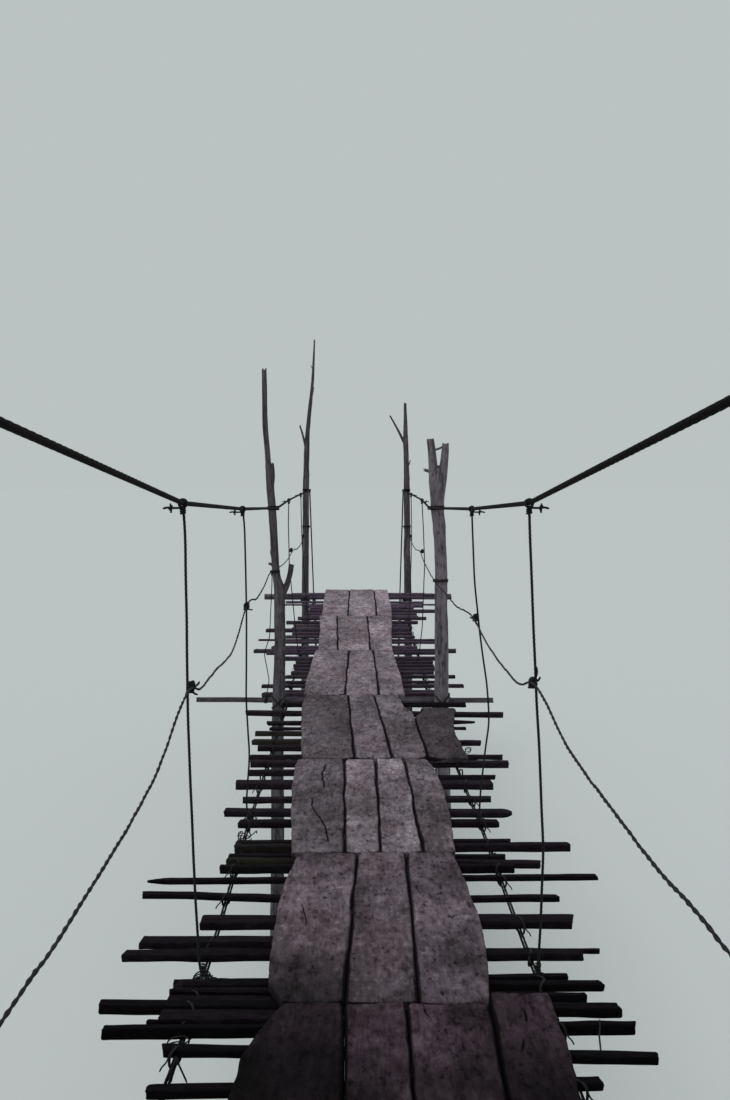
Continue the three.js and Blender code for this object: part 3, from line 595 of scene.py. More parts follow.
def poleShells(trunk, look):
    # the trunk's path wanders slowly off its stages, and its limbs bow a little
    seed, place = trunk["seed"], trunk["place"]
    top = trunk["stages"][-1, 0]
    heights = np.concatenate([[0.0, 0.004], np.arange(look["step"], top - 0.004, look["step"]),
                              [top - 0.003, top]])
    across, radii = poleAt(trunk, heights)
    across[2:-2], radii[2:-2] = (np.convolve(v, np.ones(5) / 5, "valid") for v in (across, radii))
    radii[-1] *= 0.8
    path = placed(across, place, heights)
    held = np.clip(heights / 0.3, 0, 1)
    path[:, 0] += 0.004 * roughness(path, (1, 1, 0.45), seed + 3) * held
    path[:, 1] += 0.005 * roughness(path, (1, 1, 0.6), seed + 4) * held
    bark = {"tone": trunk["tone"], "bare": trunk["bare"]}
    shells = [barkShell(path, radii, look["sides"], (0, 1, 0), seed, look["ridge"], look["ragged"], **bark)]
    points = shells[0]["points"]
    outward = points - path[:, None, :]
    for height, angle, bulge in trunk["knots"]:  # a knot is a round swelling on one side
        size = 0.75 * np.interp(height * mm, heights, radii)
        aim = np.array([math.cos(angle), math.sin(angle), 0])
        facing = np.clip(unit(outward) @ aim, 0, 1)
        lump = np.exp(-((points[..., 2] - height * mm) / size) ** 2) * facing ** 5 * bulge * mm
        points += lump[..., None] * unit(outward)
    points[0, :, 2] = 0.0
    for index, (x0, z0, x1, z1, r0, r1) in enumerate(trunk["limbs"]):
        start, end = np.array([x0 * mm, place, z0 * mm]), np.array([x1 * mm, place, z1 * mm])
        count = max(8, int(np.linalg.norm(end - start) / look["limbStep"]))
        share = np.linspace(0, 1, count)[:, None]
        bow = np.sin(np.pi * share) * np.array([0.006, 0.004 * (-1) ** index, 0.0])
        radius = np.interp(share[:, 0], [0, 1], [r0 * mm, r1 * mm])
        shells.append(barkShell(start + (end - start) * share + bow, radius, look["limbSides"], (0, 1, 0),
                                seed * 10 + index, look["limbRidge"], look["limbRagged"], **bark))
    return shells


for name, trunk in poles.items():
    makePiece(name + "_trunk", poleShells(trunk, poleSettings), poleBark, [name], sharp=50)
print("poles made")


def deckHeight(y):
    # the deck cables' axis: lowest + rise × the square of the place
    return bridge["deckLow"] + bridge["deckRise"] * np.square(y)


def deckX(side, y):
    # straight between the bay ends
    return np.interp(y, bridge["bayEnds"], bridge["deckCableX"][side])


# The end crossbeams bear the deck cables (level -1), the thin middle one lies on them (level
# 1). Side says on which side of the poles a beam lies, lift how far its left end rises, cord
# and turns how it is lashed
crossbeams = {
    "near_crossbeam": {"place": nearEnd, "side": -1, "level": -1, "radius": 0.033,
                       "reach": (-1.100, 1.100), "lift": 0, "cord": 0.0045, "turns": 3},
    "middle_crossbeam": {"place": middle, "side": 1, "level": 1, "radius": 0.0175,
                         "reach": (-1.090, 0.925), "lift": 0.006, "cord": 0.0028, "turns": 2},
    "far_crossbeam": {"place": farEnd, "side": 1, "level": -1, "radius": 0.033,
                      "reach": (-1.060, 1.080), "lift": 0, "cord": 0.0045, "turns": 3},
}


def beamAxis(beam):
    # beside the thickest of its poles, and just under or over the deck cables
    pair = [trunk for trunk in poles.values() if trunk["place"] == beam["place"]]
    thickest = max(poleAt(trunk, deckHeight(beam["place"]))[1] for trunk in pair)
    y = beam["place"] + beam["side"] * (thickest + beam["radius"] + bridge["gap"])
    return y, deckHeight(y) + beam["level"] * (bridge["deckCableRadius"] + bridge["gap"] + beam["radius"])


def crossLashing(trunks, diagonals, wire, turns):
    # a cord drawn tight round two crossed trunks: along each diagonal they are ovals of
    # radius × 1.42, and for each direction the cord takes the point that reaches farthest
    (centreA, _), (centreB, _) = trunks
    between = unit(centreB - centreA)
    angle = np.linspace(0, 2 * np.pi * turns, int(40 * turns) + 1)
    aim = np.stack([np.cos(angle), np.sin(angle)], axis=1)
    shells = []
    for diagonal in unit(np.array(diagonals, float)):
        axes = np.stack([between, diagonal])
        points = []
        for centre, radius in trunks:
            radii = np.array([radius, radius * 1.42]) + wire + 0.001
            size = np.linalg.norm(aim * radii, axis=1, keepdims=True)
            points.append(centre + aim * radii**2 / size @ axes)
        reach = [np.sum(point * (aim @ axes), axis=1) for point in points]
        loop = np.where((reach[0] > reach[1])[:, None], *points)
        across = np.cross(diagonal, between)
        loop = loop + np.linspace(-0.5, 0.5, len(angle))[:, None] * across * wire * 2.2 * turns
        shells.append(wireShell(curveThrough(loop, 0.008, 1), wire, across))
    return shells


# The bark's ridges are a share of the beam's radius
beamLook = {"step": 0.015, "sides": 20, "ridge": 0.04, "ragged": 0.008, "tone": 1.35, "sway": 0.003}
for index, (name, beam) in enumerate(crossbeams.items()):
    y, z = beamAxis(beam)
    count = int((beam["reach"][1] - beam["reach"][0]) / beamLook["step"])
    path = placed(np.linspace(*beam["reach"], count), y, z)
    path[:, 1] += beamLook["sway"] * roughness(path, (0.5, 1, 1), 21 + index)
    path[:, 2] += beam["lift"] * np.clip((-0.45 - path[:, 0]) / 0.35, 0, 1)
    log = barkShell(path, np.full(count, beam["radius"]), beamLook["sides"], (0, 0, 1), 21 + index,
                    beamLook["ridge"] * beam["radius"], beamLook["ragged"], beamLook["tone"])
    makePiece(name + "_log", [log], poleBark, [name], sharp=50)
    wraps = []
    for trunk in poles.values():
        if trunk["place"] == beam["place"]:
            x, radius = poleAt(trunk, z)
            trunks = [(np.array([x, beam["place"], z]), radius), (np.array([x, y, z]), beam["radius"])]
            wraps += crossLashing(trunks, [(1, 0, 1), (1, 0, -1)], beam["cord"], beam["turns"])
    makePiece(name + "_lashings", wraps, ropeFibre)


def inward(side):
    return 1 if side == "left" else -1


def anchorY(end):
    # the posts stand farther out than the poles at that end
    return end + math.copysign(bridge["anchorDistance"], end)


# The posts narrow over their shoulder, to the radii at its third height and at the top
postLook = {"step": 0.014, "sides": 34, "ridge": 0.0022, "ragged": 0.003,
            "shoulder": [0.48, 0.494, 0.507, 0.516], "topRadii": [0.060, 0.051]}
for end, place in (("near", nearEnd), ("far", farEnd)):
    for side in ("left", "right"):
        top, radius = bridge["anchorHeight"], bridge["anchorRadius"]
        heights = np.concatenate([[0, 0.004], np.arange(0.016, 0.47, postLook["step"]),
                                  postLook["shoulder"], [top]])
        radii = np.interp(heights, [0, 0.48, 0.507, top], [radius, radius, *postLook["topRadii"]])
        path = placed(-inward(side) * bridge["anchorX"], anchorY(place), heights)
        seed = 31 + 2 * (end == "far") + (side == "right")
        post = barkShell(path, radii, postLook["sides"], (0, 1, 0), seed,
                         postLook["ridge"], postLook["ragged"])
        post["points"][0, :, 2] = 0.0
        makePiece(f"{end}_{side}_anchor_post_log", [post], poleBark,
                  [f"{end}_{side}_anchor_post"], sharp=50)
print("crossbeams and anchor posts made")


def besidePole(name, height, radius, face):
    # the place of a cable that passes one face of a pole
    x, poleRadius = poleAt(poles[name], height)
    return x + face * (poleRadius + bridge["gap"] + radius)


def smoothThrough(stops, y):
    # cubic curves through the stops, whose slopes are taken from the stops on either side
    stops = np.asarray(stops, float)
    places = stops[:, 1]
    slopes = np.gradient(stops, places, axis=0)
    i = np.clip(np.searchsorted(places, y) - 1, 0, len(places) - 2)
    span = (places[i + 1] - places[i])[:, None]
    t = ((y - places[i])[:, None]) / span
    return (
        stops[i] * (2 * t**3 - 3 * t**2 + 1) + stops[i + 1] * (3 * t**2 - 2 * t**3)
        + slopes[i] * span * (t**3 - 2 * t**2 + t) + slopes[i + 1] * span * (t**3 - t**2)
    )


def anchorPoint(side, end, height, radius):
    # where a cable of that radius meets the inner side of its anchor post
    inset = bridge["anchorRadius"] + bridge["gap"] + radius
    return np.array([inward(side) * (inset - bridge["anchorX"]), anchorY(end), height])


# All in mm: heights of the hand cables at the seven bay ends, their places across at the
# hangers, and heights of the side ropes at the bay ends and at both thirds between them
handHeight = {"left": [3278, 3094, 3020, 2937, 2944, 2955, 2960],
              "right": [3300, 3094, 3020, 2937, 2944, 2955, 2960]}
handX = {"left": {1: -505, 2: -500, 4: -560, 5: -550}, "right": {1: 500, 2: 503, 4: 535, 5: 530}}
# The side ropes also sag beside the near knots: place along the bridge and height
ropeSags = {"left": [[-4090, 2523], [-3930, 2518]], "right": [[-4065, 2531], [-3795, 2512]]}
sideHeight = {
    "left": [2425, 2420, 2452, 2555, 2508, 2494, 2592, 2530, 2515, 2510, 2492, 2490, 2530, 2500, 2505,
             2540, 2512, 2515, 2550],
    "right": [2530, 2510, 2518, 2568, 2508, 2512, 2542, 2488, 2470, 2450, 2460, 2478, 2520, 2492, 2500,
              2540, 2510, 2515, 2550],
}
polePlaces = {0: "near", 3: "middle", 6: "far"}  # the other bay ends are hangers


def handStops(side):
    # the cable's axis at the bay ends: beside the poles, and over the hangers
    stops = []
    for k, (y, z) in enumerate(zip(bridge["bayEnds"], np.array(handHeight[side]) * mm)):
        if k in polePlaces:
            x = besidePole(f"{polePlaces[k]}_{side}_pole", z, bridge["handCableRadius"], inward(side))
        else:
            x = handX[side][k] * mm
        stops.append([x, y, z])
    return np.array(stops)


def hangerTop(side, y):
    # the taut hand cable runs straight from stop to stop
    stops = handStops(side)
    return np.array([np.interp(y, stops[:, 1], stops[:, 0]), y, np.interp(y, stops[:, 1], stops[:, 2])])


def hangerLine(side, y, z):
    # x on the straight line from the deck cable to the hand cable
    top, footX, footZ = hangerTop(side, y), deckX(side, y), deckHeight(y)
    return footX + (top[0] - footX) * (z - footZ) / (top[2] - footZ)


def sideStops(side):
    # the rope passes the poles on their inner face, but the middle left one on its outer face
    stops = []
    for k, y in enumerate(bridge["bayEnds"]):
        z = sideHeight[side][3 * k] * mm
        if k in polePlaces:
            face = -inward(side) if (side == "left" and k == 3) else inward(side)
            x = besidePole(f"{polePlaces[k]}_{side}_pole", z, bridge["sideRopeRadius"], face)
        else:
            x = hangerLine(side, y, z) + inward(side) * bridge["hangerToRope"]
        stops.append([x, y, z])
    stops = np.array(stops)
    count = 3 * (len(stops) - 1) + 1
    share = np.arange(count) / 3
    full = alongPath(share, np.arange(len(stops)), stops)
    full[:, 2] = np.array(sideHeight[side]) * mm
    return full


def ropeLine(side, stops, y):
    # the curve through the stops, and through the sags beside the knots
    sags = np.array([[np.interp(place * mm, stops[:, 1], stops[:, 0]), place * mm, height * mm]
                     for place, height in ropeSags[side]])
    whole = np.concatenate([stops, sags])
    return smoothThrough(whole[np.argsort(whole[:, 1])], y)


def lobes(count, outer, valley, each):
    # the outline of a cable of strands: full radius on each strand, less in the valleys
    dip = {2: [1, valley], 3: [1, 0.97, valley], 4: [1, 0.95, valley, 0.95]}[each]
    return outer * np.tile(dip, count)


def strandedShell(path, profile, lay, reference=(1, 0, 0), swell=1.0):
    # the profile carried along the path, turned once round in each lay length
    return {"points": carried(path, profile, reference, 2 * np.pi * arcLength(path) / lay, swell)}


def poleWraps(trunk, point, look):
    # turns of a tie wire round a pole and the cable beside it
    cable, wire, turns = look["tieReach"], look["tie"], look["tieTurns"]
    x, radius = poleAt(trunk, point[2])
    shift = math.copysign((radius - cable) / 2, x - point[0])
    centre = np.array([(x + point[0]) / 2 + shift, trunk["place"], point[2]])
    half = abs(point[0] - x) / 2 + (radius + cable) / 2 + wire + 0.001
    first, second = np.array([half, 0, 0]), np.array([0, radius + wire + 0.001, 0])
    path = loopPath(centre, first, second, 28, 0.85, turns, (0, 0, wire * 2.3 * turns))
    return wireShell(curveThrough(path, 0.006, 1), wire, (0, 0, 1))


def poleTies(side, stops, look):
    # the wraps at a side's three poles; stops are one to a bay end
    return [poleWraps(poles[f"{label}_{side}_pole"], stops[k], look) for k, label in polePlaces.items()]


def anchorWraps(side, height, look):
    # turns of a cable round its two anchor posts
    shells = []
    for end in (nearEnd, farEnd):
        centre = [-inward(side) * bridge["anchorX"], anchorY(end), height]
        wrap = coilPath(centre, (0, 0, 1), bridge["anchorRadius"] + look["standOff"], look["turns"],
                        look["pitch"], 0, 0.004, look["seed"])
        path = curveThrough(wrap, 0.012, 1)
        shells.append(strandedShell(path, lobes(*look["lobes"]), look["lay"], (0, 0, 1)))
    return shells


# Lobes are the number of strands, their radius, the valley between them and points for each
handLook = {
    "lobes": (6, 0.0076, 0.9, 3), "lay": 0.26, "tieReach": 0.008, "tie": 0.003, "tieTurns": 4,
    "wraps": {"lobes": (6, 0.0076, 0.85, 2), "lay": 0.2, "standOff": 0.008, "turns": 3,
              "pitch": 0.017, "seed": 3},
}
ropeLook = {
    "radius": 0.0041, "profile": [1, 0.88, 0.6, 0.54, 0.6, 0.88] * 2, "lay": 0.075, "step": 0.0105,
    "lumps": 0.14, "wander": 0.0035, "tieReach": 0.004, "tie": 0.003, "tieTurns": 3,
}
deckLook = {
    "lobes": (5, 0.0040, 0.85, 2), "lay": 0.11, "apart": 0.0044, "wander": 0.0008,
    "wraps": {"lobes": (5, 0.0048, 0.85, 2), "lay": 0.11, "standOff": 0.007, "turns": 4,
              "pitch": 0.010, "seed": 4},
}


def handCable(side, look):
    # straight from stop to stop and down to the anchor posts, with the corners softened
    stops = handStops(side)
    first, last = (anchorPoint(side, end, bridge["handCableTie"], bridge["handCableRadius"])
                   for end in (nearEnd, farEnd))
    path = curveThrough([first, *stops, last], 0.016, 2)
    return [strandedShell(path, lobes(*look["lobes"]), look["lay"]),
            *anchorWraps(side, bridge["handCableTie"], look["wraps"]), *poleTies(side, stops, look)]


def sideRope(side, look):
    # the curve through the stops + a wandering that fades out at them; its lumps swell it
    stops = sideStops(side)
    y = np.linspace(nearEnd, farEnd, 900)
    path = ropeLine(side, stops, y)
    loosely = np.clip(np.abs(y[:, None] - bridge["bayEnds"]).min(1) / 0.15, 0, 1)
    path[:, 2] += look["wander"] * roughness(path, (1, 0.15, 1), 51 + (side == "right")) * loosely
    path = resampled(path, look["step"])
    lumps = 1 + look["lumps"] * roughness(path, (1, 0.03, 1), 53)
    strand = strandedShell(path, look["radius"] * np.array(look["profile"]), look["lay"], swell=lumps)
    return path, [strand, *poleTies(side, stops[::3], look)]


def deckCable(side, look):
    # the deck's curve, bent over the end crossbeams by the arc of a circle and on to the anchor
    # posts; it is two wires laid side by side
    y = np.linspace(nearEnd, farEnd, 240)
    parts = [placed(deckX(side, y), y, deckHeight(y))]
    for name, end in (("near_crossbeam", nearEnd), ("far_crossbeam", farEnd)):
        beamY, beamZ = beamAxis(crossbeams[name])
        anchor = anchorPoint(side, end, bridge["deckCableTie"], bridge["deckCableRadius"])
        angle = np.linspace(0, math.atan2(beamZ - anchor[2], abs(anchor[1] - beamY)), 6)
        radius = crossbeams[name]["radius"] + bridge["deckCableRadius"] + 0.0007
        bend = placed(deckX(side, end), beamY + math.copysign(1, end) * radius * np.sin(angle),
                      beamZ + radius * np.cos(angle))
        tail = np.concatenate([bend, anchor[None]])
        parts = [tail[::-1], *parts] if end == nearEnd else [*parts, tail]
    path = curveThrough(np.concatenate(parts), 0.018, 1)
    shells = []
    for offset in (-look["apart"], look["apart"]):
        wire = path + [offset, 0, 0]
        wire[:, 2] += look["wander"] * roughness(wire, (1, 0.2, 1), 57)
        shells.append(strandedShell(wire, lobes(*look["lobes"]), look["lay"]))
    return shells + anchorWraps(side, bridge["deckCableTie"], look["wraps"])


rope = {}
for side in ("left", "right"):
    rope[side], ropeShells = sideRope(side, ropeLook)
    for label, shells, finish, slotName in (
        ("hand_cable", handCable(side, handLook), cableSteel, "cable_steel"),
        ("side_rope", ropeShells, ropeFibre, "side_rope"),
        ("deck_cable", deckCable(side, deckLook), cableSteel, "cable_steel"),
    ):
        makePiece(f"{side}_{label}_strands", shells, finish, [f"{side}_{label}"])
print("cables and ropes made")


# In mm: bows are height and sideways offset, tails how the middle knot's loose ends stick out
hangers = {
    "left_hanger_1": {"bows": [[1700, -11], [2040, -14], [2460, -13], [2750, -4], [3000, 4]],
                      "tails": [[10, -4, -22], [24, 6, 4], [14, -4, 12]]},
    "left_hanger_2": {"bows": [[1700, -12], [1930, 8], [2180, -2], [2580, 8], [2950, 7]],
                      "tails": [[16, 0, -20]]},
    "left_hanger_3": {"bows": [[1900, -16], [2400, -32], [2750, -18]], "tails": [[-14, 0, -16]]},
    "left_hanger_4": {"bows": [[1900, -8], [2500, -16]], "tails": [[14, 4, 12]]},
    "right_hanger_1": {"bows": [[1704, 0], [1867, 14], [2084, 24], [2345, 17], [2517, 11], [2753, 6]],
                       "tails": [[20, -6, 38], [22, 0, 6], [-12, 4, -6]]},
    "right_hanger_2": {"bows": [[1700, 1], [1925, 28], [2078, 54], [2234, 48], [2347, 35], [2467, 23],
                                [2700, 4]], "tails": [[-24, -4, -6], [2, 4, -30]]},
    "right_hanger_3": {"bows": [[1900, 26], [2400, 34], [2700, 18]], "tails": [[14, 0, -14]]},
    "right_hanger_4": {"bows": [[1900, 8], [2500, 14]], "tails": [[-14, 4, 12]]},
}
# Coils are wire and coil radius, turns, pitch, start angle and wobble; the toggle's points go
# outwards from its start, the foot's tail to the right; knot coils are axis, radius, turns,
# pitch. All in metres
hangerLook = {
    "lobes": (3, 0.0044, 0.8, 4), "lay": 0.04, "sway": (0.0012, 0.0020),
    "loop": (0.0034, 0.0115, 2.5, 0.0075, 1.2, 0.03), "neck": (0.0030, 0.0068, 3, 0.0062, 0, 0.05),
    "toggle": [[0, 0, 0], [0.020, -0.004, -0.001], [0.042, 0.001, 0.001], [0.054, 0.002, -0.003]],
    "toggleCoil": (0.0022, 0.0058, 2, 0.005), "toggleWire": 0.0038, "pinWire": 0.0035,
    "knot": [((0.15, 0.1, 1), 0.0105, 3.5, 0.0068), ((0.7, 0.2, 0.7), 0.0115, 2.5, 0.006),
             ((0.1, 1, 0.3), 0.0095, 2.5, 0.0065), ((-0.6, 0.3, 0.8), 0.012, 1.6, 0.008)],
    "knotWire": 0.0036, "tailWire": 0.0032,
    "foot": (0.0034, 0.0125, 3, 0.008, 0.5, 0.04), "ankle": (0.0030, 0.0072, 4, 0.0075, 0, 0.06),
    "footTail": [[0, 0, 0], [0.016, -0.01, 0.008], [0.030, -0.014, -0.003], [0.042, -0.016, -0.001]],
    "footWire": 0.0030,
}


def hangerPath(side, y, bows, sway):
    # the straight line from cable to cable + the bows + a slow wandering
    top, foot = hangerTop(side, y), deckHeight(y)
    stages = np.array([[foot - 0.004, 0]] + [[z * mm, dx * mm] for z, dx in bows] + [[top[2], 0]])
    heights = np.linspace(stages[0, 0], stages[-1, 0], 200)
    x = hangerLine(side, y, heights) + np.interp(heights, stages[:, 0], stages[:, 1])
    path = placed(x, y, heights)
    path[:, 0] += sway[0] * roughness(path, (1, 1, 0.12), 61)
    path[:, 1] += sway[1] * roughness(path, (1, 1, 0.15), 62)
    return softened(path, 7)


def bentWire(points, radius, reference):
    # a short end of wire, which narrows at its tip
    return wireShell(curveThrough(points, 0.003, 2), radius, reference, taper=0.2)


def hangerShells(name, bows, tails, seed, look):
    # a hanger from its loop on the hand cable down to its foot on the deck cable
    side, y = name.split("_")[0], bridge["hangerPlaces"][int(name[-1]) - 1]
    out = -inward(side)
    path = hangerPath(side, y, bows, look["sway"])
    top, foot = path[-1], path[0]
    # two turns over the hand cable, their twisted tail pointing outwards with a small toggle
    start = top + [out * 0.004, -0.004, -0.013]
    pin = start + [out * 0.029, -0.006, 0]
    pinPoints = [pin - [0, 0, 0.015], pin, pin + [out * 0.002, 0, 0.013]]
    shells = [
        strandedShell(path, lobes(*look["lobes"]), look["lay"], (0, 1, 0)),
        coil(top, (0, 1, 0), *look["loop"], seed=seed),
        coil(top - [0, 0, 0.022], (0, 0, 1), *look["neck"], seed=seed),
        bentWire(start + np.array(look["toggle"]) * [out, 1, 1], look["toggleWire"], (0, 0, 1)),
        bentWire(pinPoints, look["pinWire"], (1, 0, 0)),
        coil(start + [out * 0.030, -0.002, 0], (1, 0, 0), *look["toggleCoil"], seed=seed),
    ]
    # the middle knot: loose turns round the hanger and across the side rope
    tie = rope[side][np.argmin(abs(rope[side][:, 1] - y))]
    knot = (np.array([np.interp(tie[2], path[:, 2], path[:, 0]), y, tie[2]]) + tie) / 2
    for k, (axis, radius, turns, pitch) in enumerate(look["knot"]):
        turned = coilPath(knot + [0, 0, 0.004 * (k - 1)], axis, radius, turns, pitch, k, 0.09, seed + k)
        shells.append(wireShell(softened(turned, 1), look["knotWire"], axis))
    for aim in tails:
        reach = np.array(aim) * mm
        bend = np.array([-reach[2], 0, abs(reach[0])]) * 0.35
        points = [knot, knot + reach * 0.6, knot + reach + bend * 0.6, knot + reach * 1.15 + bend * 1.4]
        shells.append(bentWire(points, look["tailWire"], (0, 1, 0)))
    # the foot: turns round the deck cable, a twist up the hanger and a free tail
    return shells + [
        coil(foot + [0, 0, 0.004], (0, 1, 0), *look["foot"], seed=seed + 7),
        coil(foot + [0, 0, 0.034], (0, 0, 1), *look["ankle"], seed=seed + 8),
        bentWire(foot + [0, -0.004, 0.018] + np.array(look["footTail"]), look["footWire"], (0, 0, 1)),
    ]


for index, (name, hanger) in enumerate(hangers.items()):
    shells = hangerShells(name, hanger["bows"], hanger["tails"], 70 + 10 * index, hangerLook)
    makePiece(name + "_wire", shells, hangerWire, [name])

# the kinked tie wire at the middle left pole, from the side rope to the thin crossbeam
tieLook = {
    "behindPole": 0.060, "footX": -0.618, "kinks": [[-0.592, 2.060], [-0.630, 1.950]], "kneeX": -0.596,
    "knee": 1.765, "wire": 0.0030, "top": (0.0026, 0.0070, 3, 0.006, 0, 0.05),
    "neck": (0.0024, 0.0056, 4, 0.005, 0, 0.05), "foot": (0.0028, 0.0205, 3, 0.007, 0, 0.01),
}
beamY, beamZ = beamAxis(crossbeams["middle_crossbeam"])
startY = middle + tieLook["behindPole"]
tieStart = rope["left"][np.argmin(abs(rope["left"][:, 1] - startY))]
tiePath = curveThrough([
    tieStart, [tieStart[0], startY, 2.440], *([x, startY + 0.004, z] for x, z in tieLook["kinks"]),
    [tieLook["kneeX"], beamY, tieLook["knee"]], [tieLook["footX"], beamY, beamZ + 0.023]], 0.008, 3)
tieShells = [
    wireShell(tiePath, tieLook["wire"], (0, 1, 0)),
    coil(tieStart, (0, 1, 0), *tieLook["top"], seed=5),
    coil(tieStart - [0, 0, 0.018], (0, 0, 1), *tieLook["neck"], seed=6),
    coil([tieLook["footX"], beamY, beamZ + 0.003], (1, 0, 0), *tieLook["foot"], seed=7),
]
makePiece("left_tie_wire_strand", tieShells, hangerWire, ["left_tie_wire"])
print("hangers made")


# Each slat in mm: distance from the bay's start, reach left and right, width, thickness; then
# its turn in degrees
firstBay = [
    [110, 620, 640, 55, 20, 0], [265, 500, 700, 60, 32, 1], [420, 700, 580, 45, 20, -1],
    [590, 560, 620, 60, 24, 0], [755, 640, 720, 50, 22, 1], [920, 520, 600, 65, 24, 0],
    [1090, 600, 690, 50, 20, -0.5], [1345, 495, 583, 45, 22, 2], [1535, 495, 752, 40, 24, -2.6],
    [1669, 665, 734, 30, 32, 0.85], [1749, 565, 525, 22, 12, 0], [1819, 711, 717, 47, 29, -1.3],
    [1885, 530, -150, 300, 20, 0], [1908, 531, 643, 24, 28, -1.5], [1985, 500, 706, 37, 25, 0.3],
    [2035, 533, 620, 30, 20, 1.9],
]
secondBay = [
    [147, 719, 699, 60, 24, 0], [192, 495, 759, 22, 14, 0], [265, 687, 350, 64, 24, 0],
    [452, 519, 719, 88, 28, 0], [738, 768, 713, 42, 20, -1.7], [945, 777, 899, 34, 20, 1.6],
    [1061, 523, 598, 32, 32, 0], [1151, 509, 710, 44, 27, -2.4], [1249, 509, 588, 28, 19, -0.8],
    [1347, 495, 863, 42, 32, 1.1], [1432, 495, 631, 36, 25, 0.9], [1740, 514, 615, 58, 28, 0],
]
thirdBay = [
    [86, 597, 698, 68, 29, -1.2], [334, 538, 631, 46, 26, 0.4], [620, 598, 666, 88, 32, -0.6],
    [795, 300, 702, 30, 22, 0], [884, 555, 360, 34, 30, 0], [1085, 568, 803, 60, 32, -0.9],
    [1260, 581, 793, 34, 26, -0.5], [1491, 560, 560, 68, 28, 0], [1640, 601, 709, 48, 28, -2],
    [1895, 606, 540, 52, 27, 0], [2060, 530, 661, 28, 18, 0], [2220, 556, 737, 52, 25, 1.2],
    [2495, 717, 937, 66, 30, -2.5], [2795, 500, 724, 30, 32, 0],
]
fourthBay = [
    [145, 560, 640, 55, 26, 0], [285, 656, 640, 60, 32, 0], [420, 520, 600, 45, 22, 0],
    [635, 689, 772, 50, 24, 0], [800, 530, 610, 40, 20, 0], [1015, 540, 741, 45, 24, 0],
    [1180, 500, 590, 55, 28, 0.5], [1350, 490, 620, 60, 24, 0], [1500, 505, 610, 50, 24, 0],
    [1660, 490, 610, 50, 22, 0], [1815, 590, 690, 50, 32, 0],
]
farBay = [
    [85, 730, 760, 55, 26, 0], [172, 840, 870, 60, 32, 0], [345, 520, 730, 75, 30, 0],
    [655, 770, 720, 50, 22, -1], [800, 770, 885, 36, 15, 0], [945, 520, 700, 55, 24, 0],
    [1095, 500, 590, 60, 32, 0.5], [1290, 490, 850, 60, 32, 0], [1440, 505, 610, 50, 24, 0],
    [1600, 490, 610, 50, 22, 0], [1755, 590, 690, 50, 32, 0],
]
# the last two bays share one set: mirrored left to right, then turned end for end
bays = [
    firstBay, secondBay, thirdBay, fourthBay,
    [[y + 70, right, left, *rest] for y, left, right, *rest in farBay],
    [[1950 - y - 60, *rest] for y, *rest in farBay][::-1],
]
# Corner is the range of the corners' sharpness; keys are bay and slat, both from 0: mossy gives
# moss at the left end, pointed the side and length of a taper, bowed a bend, grey a tone
slatSettings = {
    "rings": 0.026, "sides": 18, "corner": (0.16, 0.40), "grain": 0.0009, "lumps": 0.0013, "bend": 0.003,
    "ragged": 0.003, "slant": 0.35, "cutLength": 0.03, "widthSwing": 0.08, "thickSwing": 0.05,
    "endShrink": 0.09, "toneSwing": (0.75, 1.25), "clearance": 0.0004,
    # bay tone: painted haze that lightens the far bays, painted shade that darkens the near bay
    "bayHazeAndShade": [0.60, 1.4, 3.0, 7.0, 10.5, 12.0],
    "mossy": {(1, 6): 0.9, (1, 7): 0.9, (1, 8): 0.6, (1, 9): 0.4, (1, 10): 0.4, (2, 7): 0.5, (2, 8): 0.5,
              (2, 9): 0.5, (0, 13): 0.3},
    "pointed": {(1, 5): ("left", 0.07), (2, 11): ("right", 0.14), (2, 0): ("right", 0.03)},
    "bowed": {(1, 4): -0.035, (2, 8): 0.008},
    "grey": {(1, 7): 1.3, (1, 9): 1.3, (2, 12): 1.2, (0, 8): 1.2, (0, 12): 3.6},
}


